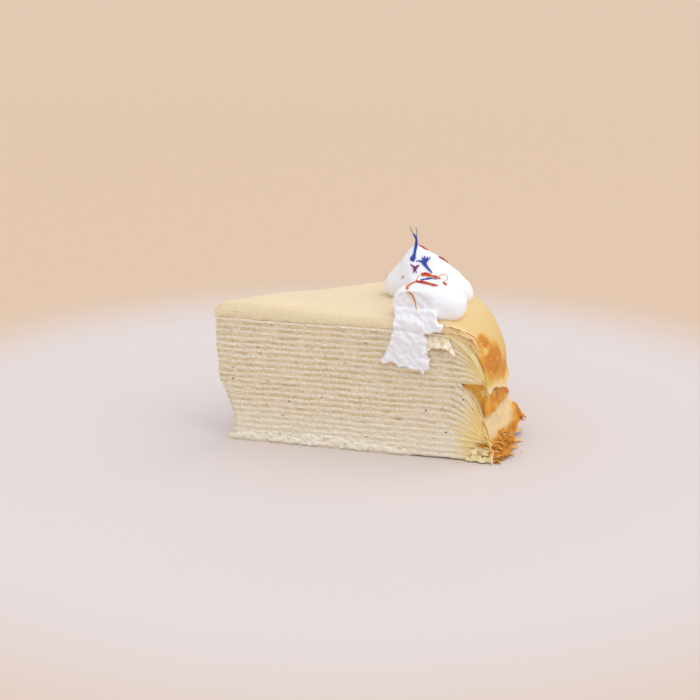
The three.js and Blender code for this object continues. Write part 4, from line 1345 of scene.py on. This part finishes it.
def fold_grid(path, width, out, base, side):
    """A narrow lip of crepe along a line on a cut face."""
    line = spline(path, 40)
    t = np.linspace(0, 1, len(line))
    across = np.linspace(-1, 1, 7)
    wander = 0.25 * grain(t * 7, width, 3.0 * side)
    half = width * (0.35 + 0.65 * np.sin(math.pi * np.clip(t, 0.04, 0.96))) / 2
    r = line[:, 0, None] + 0 * across
    z = line[:, 1, None] + wander[:, None] + half[:, None] * across
    if side == BACK:  # where the lips stay under the edge of the top crepe
        z = z + np.minimum(0, edge_height(r) - LIP_UNDER_EDGE - line[:, 1, None])
    proud = out * np.sin(math.pi * np.clip(t, 0.05, 0.95))[:, None] * (1.1 - 0.8 * (across + 0.5) ** 2)
    points = on_face(r, z, proud + base, side)
    lips = ramp(-0.9, 0.5, -across[None]) * (0.6 + 0.5 * grain(t * 8, width)[:, None])
    return turned(points, lips, -side)


FOOT_CREAM = {FRONT: (8.0, 81.0, 360), BACK: (12.0, 70.0, 200)}
FOOT_CREAM_TOP = 6.2


def settle(piece):
    """Flattens what would sink into the plate."""
    points = points_of(piece)
    points[:, 2] = np.maximum(points[:, 2], 0.02)
    move_points(piece, points)


def foot_cream(voxel):
    """Cream that was squeezed out along the foot of the cut faces, as ragged lumps."""
    random = np.random.default_rng(11)
    only()
    first = None
    for side, (start, end, count) in FOOT_CREAM.items():
        for share in (np.arange(count) + random.uniform(-0.4, 0.4, count)) / count:
            r = mix(start, end, share)
            high = 0.6 + 0.35 * math.sin(math.pi * share) + 0.8 * grain(r / 5, 2.0 * side)
            radius = random.uniform(0.5, 1.25)
            z = random.uniform(radius * 0.7, max(radius, FOOT_CREAM_TOP * high - radius))
            proud = random.uniform(0.1, 0.6) + 0.5 * (1 - z / FOOT_CREAM_TOP)
            spot = on_face(r, z, proud - radius, side)
            bpy.ops.mesh.primitive_ico_sphere_add(subdivisions=2, radius=radius * MM, location=spot * MM)
            first = first or first_ball("foot_cream")
            bpy.ops.transform.resize(value=(random.uniform(1.1, 2.4), 1, random.uniform(0.5, 0.9)))
    only(first)
    modify(first, "REMESH", mode="VOXEL", voxel_size=voxel)
    modify(first, "SMOOTH", factor=0.5, iterations=12)
    roughened(first, "foot lumps", 2.0, 0.8)
    roughened(first, "foot crumbs", 0.7, 0.4)
    settle(first)
    only(first)
    bpy.ops.object.shade_smooth()
    return first


def leaf_grid(anchor, along, side, length, width, curl, random):
    """A small torn flake of crepe that grows from its anchor."""
    t = np.linspace(0, 1, 9)[:, None]
    v = np.linspace(-0.5, 0.5, 6)[None, :]
    along = along / np.linalg.norm(along)
    side = np.cross(np.cross(along, side), along)
    side = side / np.linalg.norm(side)
    up = np.cross(side, along)
    seed = random.uniform(0, 50)
    ragged = 1 + 0.45 * grain(v * 5, seed)
    taper = (1 - 0.7 * t**2) * (1 + 0.3 * grain(t * 3, seed + 5))
    bend = curl * length * (t**2) + 0.5 * grain(t * 2.5, v * 3, seed + 9) * width * 0.5
    points = anchor + along * (length * t * ragged)[..., None] + side * (width * v * taper)[..., None]
    return points + up * bend[..., None], np.broadcast_to(random.uniform(-0.1, 0.45) + 0.4 * t, bend.shape)


FLAKES = 150
CORNER_FLAKES = 8


def flake_grids():
    """Crisp flakes at the foot of the rim, most of them near the front corner."""
    random = np.random.default_rng(5)
    made = []
    for number in range(FLAKES):
        u = random.uniform(-0.98, 0.98) if number % 3 else random.uniform(-0.97, -0.5)
        u = u if number % 3 < 2 else random.uniform(-0.97, -0.62)
        corner = math.exp(-(((abs(u) - 0.82) / 0.2) ** 2))
        z = random.uniform(0.8, 6.0 + 4.5 * corner)
        flare = 1.2 * math.exp(-(((u - FLAKE["u"]) / FLAKE["spread"]) ** 2)) * (z > 4)
        r = 114.8 - 0.09 * z + random.uniform(-0.4, 0.5) + flare + max(0.0, 1.6 - 0.3 * z) * corner
        angle = u * HALF_ANGLE
        away = np.array([math.cos(angle), math.sin(angle), 0.0])
        round_rim = np.array([-math.sin(angle), math.cos(angle), 0.0])
        along = away * random.uniform(0.3, 1.0) + round_rim * random.uniform(-0.8, 0.8)
        along[2] = random.uniform(-0.9, 0.4)
        length, width = random.uniform(1.5, 2.8) + 1.8 * corner, random.uniform(0.7, 1.7) + 0.5 * corner
        curl = random.uniform(-0.35, 0.35)
        anchor = place(np.array(r), u, z).reshape(3)
        points, shares = leaf_grid(anchor, along, round_rim, length, width, curl, random)
        points[..., 2] = np.maximum(points[..., 2], 0.3)
        made.append((points, shares))
    for _ in range(CORNER_FLAKES):
        anchor = on_face(random.uniform(107.5, 113.0), random.uniform(5.0, 9.5), 0.3)
        along = np.array([random.uniform(0.6, 1.0), random.uniform(-0.7, 0.0), random.uniform(-0.5, 0.4)])
        length, width = random.uniform(2.2, 4.2), random.uniform(0.7, 1.4)
        curl = random.uniform(-0.3, 0.3)
        made.append(leaf_grid(anchor, along, np.array([0.0, -0.6, 0.8]), length, width, curl, random))
    return made


WISPS = [
    [(113, -13, 8), (119, -12.5, 8.6), (124.5, -12.5, 7.2), (128, -13.5, 6.4)],
    [(115, -16, 5), (120.5, -16.5, 3.6), (125, -14.5, 2.6), (127.6, -10.5, 1.4)],
    [(115.5, -22, 3), (119.5, -23.5, 2.2), (123.5, -22, 1), (124.8, -18.5, 0.7)],
    [(114, -27, 3), (117.5, -29.5, 2), (120.5, -29, 0.7), (121.2, -26, 0.6)],
    [(117, 12, 4), (122, 14, 3), (125, 18, 1.2), (124, 21.5, 0.7)],
    [(113, 30, 3), (116.5, 33, 2.4), (118, 37, 0.8), (115.5, 39, 0.6)],
]


def wisp_grid(path):
    """A thin curl of browned crepe."""
    middle = spline([(TIP_X + x, y, z) for x, y, z in path], 20)
    along = np.gradient(middle, axis=0)
    side = np.cross(along, (0.2, -0.7, 0.7))
    side /= np.linalg.norm(side, axis=1, keepdims=True)
    t = np.linspace(0, 1, len(middle))
    width = np.interp(t, [0, 0.3, 1], [2.2, 2.0, 0.7]) * (1 + 0.5 * grain(t * 6, path[0][0]))
    across = np.linspace(-0.5, 0.5, 4)
    points = middle[:, None] + side[:, None] * (width[:, None] * across)[..., None]
    points[..., 2] = np.maximum(points[..., 2], 0.3)
    return points, np.broadcast_to(0.35 * t[:, None], points.shape[:2])


# Vanilla seeds of the front face, as (r, z). The back face has some by chance.
SEEDS = [
    (8.1, 26.4), (45.7, 21.3), (31.7, 18.4), (88.7, 19.8), (103.4, 25.6), (96.9, 11.3), (64.2, 6.4),
]
BACK_SEEDS = 9
SMALL_SEEDS = 14
SEED_RADIUS = {"front": 0.34, "back": 0.32, "small": 0.15}
CRUMBS = 32


def scattered(name, spots, squash, spread):
    """One mesh of small lumps. Each spot is a place and a radius."""
    random = np.random.default_rng(17)
    only()
    first = None
    for spot, radius in spots:
        bpy.ops.mesh.primitive_ico_sphere_add(subdivisions=2, radius=radius * MM, location=spot * MM)
        first = first or first_ball(name)
        wide, tall = random.uniform(*spread), random.uniform(*squash)
        bpy.ops.transform.resize(value=(wide, 1, tall))
    only(first)
    roughened(first, name, 0.5, 0.25)
    settle(first)
    only(first)
    bpy.ops.object.shade_smooth()
    return first


def face_spot(r, z, side):
    """The place on the surface of the layers at (r, z) of a cut face."""
    start = Vector(on_face(r, z, 5.0, side)) * MM
    towards = -Vector(face_normal(side))
    found = []
    for piece in bpy.data.objects:
        if "_layer_" in piece.name:
            hit, spot, _, _ = piece.ray_cast(start, towards)
            if hit:
                found.append(spot)
    if not found:
        raise RuntimeError(f"no layer behind ({r}, {z}) of the cut face")
    return np.array(min(found, key=lambda spot: (spot - start).length)) / MM


def seed_spots():
    """Vanilla seeds: known ones in the front face, others by chance in both."""
    random = np.random.default_rng(3)
    back = random.uniform([8, 4], [96, 50], (BACK_SEEDS, 2))
    small = random.uniform([10, 4], [96, 50], (SMALL_SEEDS, 2))
    spots = [(face_spot(r, z, FRONT), SEED_RADIUS["front"]) for r, z in SEEDS]
    spots += [(face_spot(r, z, BACK), SEED_RADIUS["back"]) for r, z in back]
    for number, (r, z) in enumerate(small):
        spots.append((face_spot(r, z, FRONT if number % 2 else BACK), SEED_RADIUS["small"]))
    return spots


def crumb_spots():
    """Crumbs of cream and crepe on the plate close to the foot."""
    random = np.random.default_rng(29)
    spots = []
    for number in range(CRUMBS):
        radius = random.uniform(0.2, 0.5)
        if number % 3:
            side = FRONT if number % 2 else BACK
            out = 0.8 + 3.5 * random.random() ** 2
            spot = on_face(random.uniform(6, 108), 0.0, out, side)
        else:
            spot = place(np.array(random.uniform(118, 124)), random.uniform(-0.95, 0.95), 0.0)
        spots.append((np.array([spot[0], spot[1], radius * 0.7]), radius))
    return spots


class CREPECAKE_OT_details(bpy.types.Operator):
    """Add the frilled corners, the torn flap, cream at the foot, flakes, seeds and crumbs"""

    bl_idname = "crepecake.details"
    bl_label = "Frills, flakes and crumbs"

    def execute(self, context):
        shape, colours = context.scene.crepecake_shape, context.scene.crepecake_colours
        random = np.random.default_rng(13)
        margins = [(h, random) for h in FRILL_HEIGHTS]
        frill = frill_finish("crepe frill", tuple(colours.frill), colours)
        pale = frill_finish("crepe fold", tuple(colours.fold), colours)
        for name, make, shapes, thickness, finish, slot in (
            ("corner_frills", frill_grid, margins, 0.32, frill, "browned_crepe"),
            ("corner_ruffles", ruffle_grid, RUFFLES, 0.3, pale, "browned_crepe"),
            ("corner_curtains", curtain_grid, CURTAINS, 0.35, pale, "browned_crepe"),
            ("fold_ends", crescent_grid, [()], 0.35, pale, "golden_top"),
            ("corner_folds", fold_grid, CORNER_FOLDS, 0.35, pale, "golden_top"),
        ):
            made = [make(*each, side) for side in SIDES for each in shapes]
            self.sheets(name, made, thickness, finish, slot)
        # The tip lip stands out of the front face, and its colour is the top's cut made a tenth lighter: a
        # painted highlight along the tip.
        lip_highlight_finish = plain_finish("tip lip highlight", shade(tuple(colours.top_cut), 1.1), 0.6)
        self.sheets("tip_lip", [fold_grid(*TIP_LIP, FRONT)], 0.35, lip_highlight_finish, "golden_top")
        linings = [lining_grid(side) for side in SIDES]
        lining = grids_piece("fold_lining", linings, LINING_THICKNESS, 1)
        finish_piece(lining, lining_finish(colours), "browned_crepe")
        flap = grids_piece("torn_flap", [flap_grid()], FLAP["thickness"], 1)
        finish_piece(flap, flap_finish(colours), "crepe")
        finish_piece(foot_cream(shape.foot_voxel), foot_finish(colours), "pastry_cream")
        edge = edge_finish(colours)
        self.sheets("brown_flakes", flake_grids(), 0.22, edge, "browned_crepe")
        self.sheets("brown_wisps", [wisp_grid(path) for path in WISPS], 0.25, edge, "browned_crepe")
        seeds = scattered("vanilla_seeds", seed_spots(), (0.7, 1.0), (0.8, 1.5))
        finish_piece(seeds, plain_finish("vanilla seed", colours.seed, 0.45), "vanilla_seed")
        crumbs = scattered("crumbs", crumb_spots(), (0.6, 1.0), (0.8, 1.4))
        finish_piece(crumbs, plain_finish("crumb", colours.fold, 0.8), "crepe")
        return {"FINISHED"}

    def sheets(self, name, made, thickness, finish, slot):
        grids, values = zip(*made)
        finish_piece(grids_piece(name, grids, thickness, 1, 60.0, values), finish, slot)


# ---- Stage --------------------------------------------------------------------------------------
CAMERA = {"azimuth": -7.206, "elevation": 16.701, "distance": 550.0, "lens": 68.34, "sensor": 36.0}
AIM = Vector((-0.08, 0.0, 35.614))


def around(azimuth, elevation):
    """The direction from the cake towards a viewer or a light."""
    a, e = math.radians(azimuth), math.radians(elevation)
    return Vector((math.sin(a) * math.cos(e), -math.cos(a) * math.cos(e), math.sin(e)))


def floor_finish(look):
    """A pale matt floor that turns warmer away from the cake."""
    f = Finish("floor", 0.7, **{"Specular IOR Level": 0.2})
    distance = f.add("ShaderNodeVectorMath", {0: f.place}, operation="LENGTH").outputs["Value"]
    f.paint(f.mixed(f.ramp(distance, 0.17, 0.28), tuple(look.floor_near), tuple(look.floor_far)))
    return f.material


class CREPECAKE_OT_stage(bpy.types.Operator):
    """Set up the pale floor, the soft studio lights and the camera"""

    bl_idname = "crepecake.stage"
    bl_label = "Floor, lights and camera"

    def execute(self, context):
        look = context.scene.crepecake_stage
        only()
        bpy.ops.mesh.primitive_circle_add(vertices=96, radius=look.floor_radius, fill_type="TRIFAN")
        floor = context.object
        floor.name = "floor"
        floor.data.materials.append(floor_finish(look))
        self.light("key", look.key_power, look.key_spread, around(80, 52))
        self.light("fill", look.fill_power, look.fill_spread, around(-10, 60))
        world = context.scene.world or bpy.data.worlds.new("studio")
        context.scene.world = world
        world.use_nodes = True
        background = world.node_tree.nodes["Background"]
        background.inputs["Color"].default_value = (*look.air, 1)
        background.inputs["Strength"].default_value = look.air_strength
        context.scene.view_settings.view_transform = "Standard"
        self.camera(context)
        return {"FINISHED"}

    def light(self, name, power, spread, direction):
        bpy.ops.object.light_add(type="SUN", location=AIM * MM + direction)
        lamp = bpy.context.object
        lamp.name = name
        lamp.data.energy = power
        lamp.data.angle = spread
        lamp.rotation_euler = direction.to_track_quat("Z", "Y").to_euler()

    def camera(self, context):
        back = around(CAMERA["azimuth"], CAMERA["elevation"])
        bpy.ops.object.camera_add(location=(AIM + back * CAMERA["distance"]) * MM)
        camera = context.object
        camera.rotation_euler = back.to_track_quat("Z", "Y").to_euler()
        camera.data.lens = CAMERA["lens"]
        camera.data.sensor_width = CAMERA["sensor"]
        camera.data.clip_start = 0.01
        context.scene.camera = camera


# ---- What a user can change ---------------------------------------------------------------------
def colour(name, description, red, green, blue):
    return bpy.props.FloatVectorProperty(
        name=name, description=description, subtype="COLOR", size=3, min=0, max=1,
        default=linear(red, green, blue),
    )


def number(name, description, default, **settings):
    return bpy.props.FloatProperty(name=name, description=description, default=default, **settings)


def size(name, description, default):
    """A small size in millimetres of the cake's surface."""
    return number(name, description, default, min=0)


def voxel(name, description, default):
    return number(name, description, default, min=0.0002, unit="LENGTH", subtype="DISTANCE")


def count(name, description, default):
    return bpy.props.IntProperty(name=name, description=description, default=default, min=0)


class CrepeCakeShape(bpy.types.PropertyGroup):
    """How uneven the cake is. These sizes are in millimetres but for the two details."""

    wave_long: size("Long waves", "How far seams wander over a few centimetres", 0.55)
    wave_short: size("Short waves", "How far seams wander over a few millimetres", 0.26)
    face_sway: size("Face unevenness", "How far a cut face is from flat", 0.5)
    face_lumps: size("Face lumps", "Height of the lumps on the cut faces", 0.34)
    recess: size("Seam depth", "How deep the seams lie", 0.05)
    cream_proud: size("Cream bulge", "How far the cream stands out of a cut face", 0.24)
    crepe_proud: size("Crepe bulge", "How far crepes stand out of a cut face", 0.02)
    top_waves: size("Top waves", "Height of the soft waves of the top crepe", 0.3)
    hem_ragged: size("Ragged hems", "How ragged the hanging crepe edges are", 0.9)
    small_holes: count("Small holes", "Number of small holes in each cut face", 70)
    cream_voxel: voxel("Cream detail", "Size of the finest detail of the whipped cream", 0.00045)
    foot_voxel: voxel("Foot detail", "Size of the finest detail of the cream at the foot", 0.00035)
    cream_smoothing: count("Cream smoothing", "How often the whipped cream is smoothed", 60)


class CrepeCakeColours(bpy.types.PropertyGroup):
    """The colours of the food."""

    cream: colour("Pastry cream", "Cream between the crepes", 247, 233, 206)
    foot_cream: colour("Foot cream", "Cream squeezed out at the foot", 255, 245, 222)
    crepe: colour("Crepe", "Cut edge of a crepe", 227, 201, 149)
    blush: colour("Blush", "Browned skin that shows through", 228, 184, 138)
    frill: colour("Frills", "Thin crepe edges at the corners", 255, 225, 146)
    fold: colour("Folds", "Paler crepe ends at the corners", 255, 236, 184)
    # Painted shade: the dark colour put into the small holes, and dabbed as dark spots on the fold lining
    # and the foot cream.
    shaded_pit: colour("Holes", "Inside of the small holes", 150, 106, 50)
    lining: colour("Fold lining", "Inside of the fold at the corners", 226, 180, 72)
    top: colour("Top", "Flat of the top crepe", 240, 217, 174)
    top_cut: colour("Top cut", "Cut edge of the top crepe", 241, 224, 181)
    golden_top: colour("Golden top", "Top crepe where it folds over the rim", 220, 177, 80)
    golden: colour("Golden", "Golden crepe", 224, 162, 54)
    browned: colour("Browned", "Browned patches", 204, 124, 22)
    crisp: colour("Crisp", "Crisp brown hems", 176, 102, 14)
    skirt: colour("Hanging edge", "Pale part of the hanging edges", 225, 194, 142)
    whipped: colour("Whipped cream", "Whipped cream", 253, 253, 255)
    blue: colour("Blue petal", "Blue petals", 46, 78, 174)
    lilac: colour("Lilac", "Ends of the blue petals", 74, 78, 158)
    purple: colour("Purple petal", "Purple petals", 150, 56, 112)
    red: colour("Red petal", "Red petals", 206, 22, 4)
    pink: colour("Pink petal", "Pink petals", 240, 186, 168)
    saffron: colour("Saffron", "Saffron threads and petal tips", 232, 132, 26)
    ochre: colour("Ochre", "Thin end of a saffron thread", 224, 166, 84)
    seed: colour("Vanilla seed", "Vanilla seeds", 45, 28, 20)


class CrepeCakeStage(bpy.types.PropertyGroup):
    """The floor, the lights and the air round the cake."""

    floor_near: colour("Floor", "Floor near the cake", 222, 211, 204)
    floor_far: colour("Floor, far", "Floor away from the cake", 220, 190, 160)
    floor_radius: number("Floor radius", "Radius of the floor", 12.0, unit="LENGTH")
    key_power: number("Key light", "Watts a square metre of the main light", 1.15, min=0)
    key_spread: number(
        "Key softness", "How wide the main light looks from the cake", math.radians(75), subtype="ANGLE"
    )
    fill_power: number("Fill light", "Watts a square metre of the fill light", 0.5, min=0)
    fill_spread: number(
        "Fill softness", "How wide the fill light looks from the cake", math.radians(60), subtype="ANGLE"
    )
    air: colour("Air", "Colour of the light from all round", 240, 243, 255)
    air_strength: number("Air light", "Strength of the light from all round", 0.76)


class CREPECAKE_PT_panel(bpy.types.Panel):
    """The steps of the cake in the 3D view's sidebar"""

    bl_idname = "CREPECAKE_PT_panel"
    bl_label = "Crepe cake slice"
    bl_space_type = "VIEW_3D"
    bl_region_type = "UI"
    bl_category = "Crepe cake"

    def draw(self, context):
        for group in (context.scene.crepecake_shape, context.scene.crepecake_colours,
                      context.scene.crepecake_stage):
            box = self.layout.box()
            for name in group.__annotations__:
                box.prop(group, name)
        for step in STEPS:
            self.layout.operator(step.bl_idname)


GROUPS = {
    "crepecake_shape": CrepeCakeShape,
    "crepecake_colours": CrepeCakeColours,
    "crepecake_stage": CrepeCakeStage,
}
STEPS = [
    CREPECAKE_OT_stage,
    CREPECAKE_OT_layers,
    CREPECAKE_OT_top,
    CREPECAKE_OT_edges,
    CREPECAKE_OT_whipped,
    CREPECAKE_OT_petals,
    CREPECAKE_OT_details,
]


def register():
    for kind in (*GROUPS.values(), *STEPS, CREPECAKE_PT_panel):
        bpy.utils.register_class(kind)
    for name, group in GROUPS.items():
        setattr(bpy.types.Scene, name, bpy.props.PointerProperty(type=group))


def unregister():
    for name in GROUPS:
        delattr(bpy.types.Scene, name)
    for kind in (CREPECAKE_PT_panel, *STEPS[::-1], *GROUPS.values()):
        bpy.utils.unregister_class(kind)


def main():
    register()
    bpy.ops.crepecake.stage()
    bpy.ops.crepecake.layers()
    bpy.ops.crepecake.top()
    bpy.ops.crepecake.edges()
    bpy.ops.crepecake.whipped()
    bpy.ops.crepecake.petals()
    bpy.ops.crepecake.details()


if __name__ == "__main__":
    main()
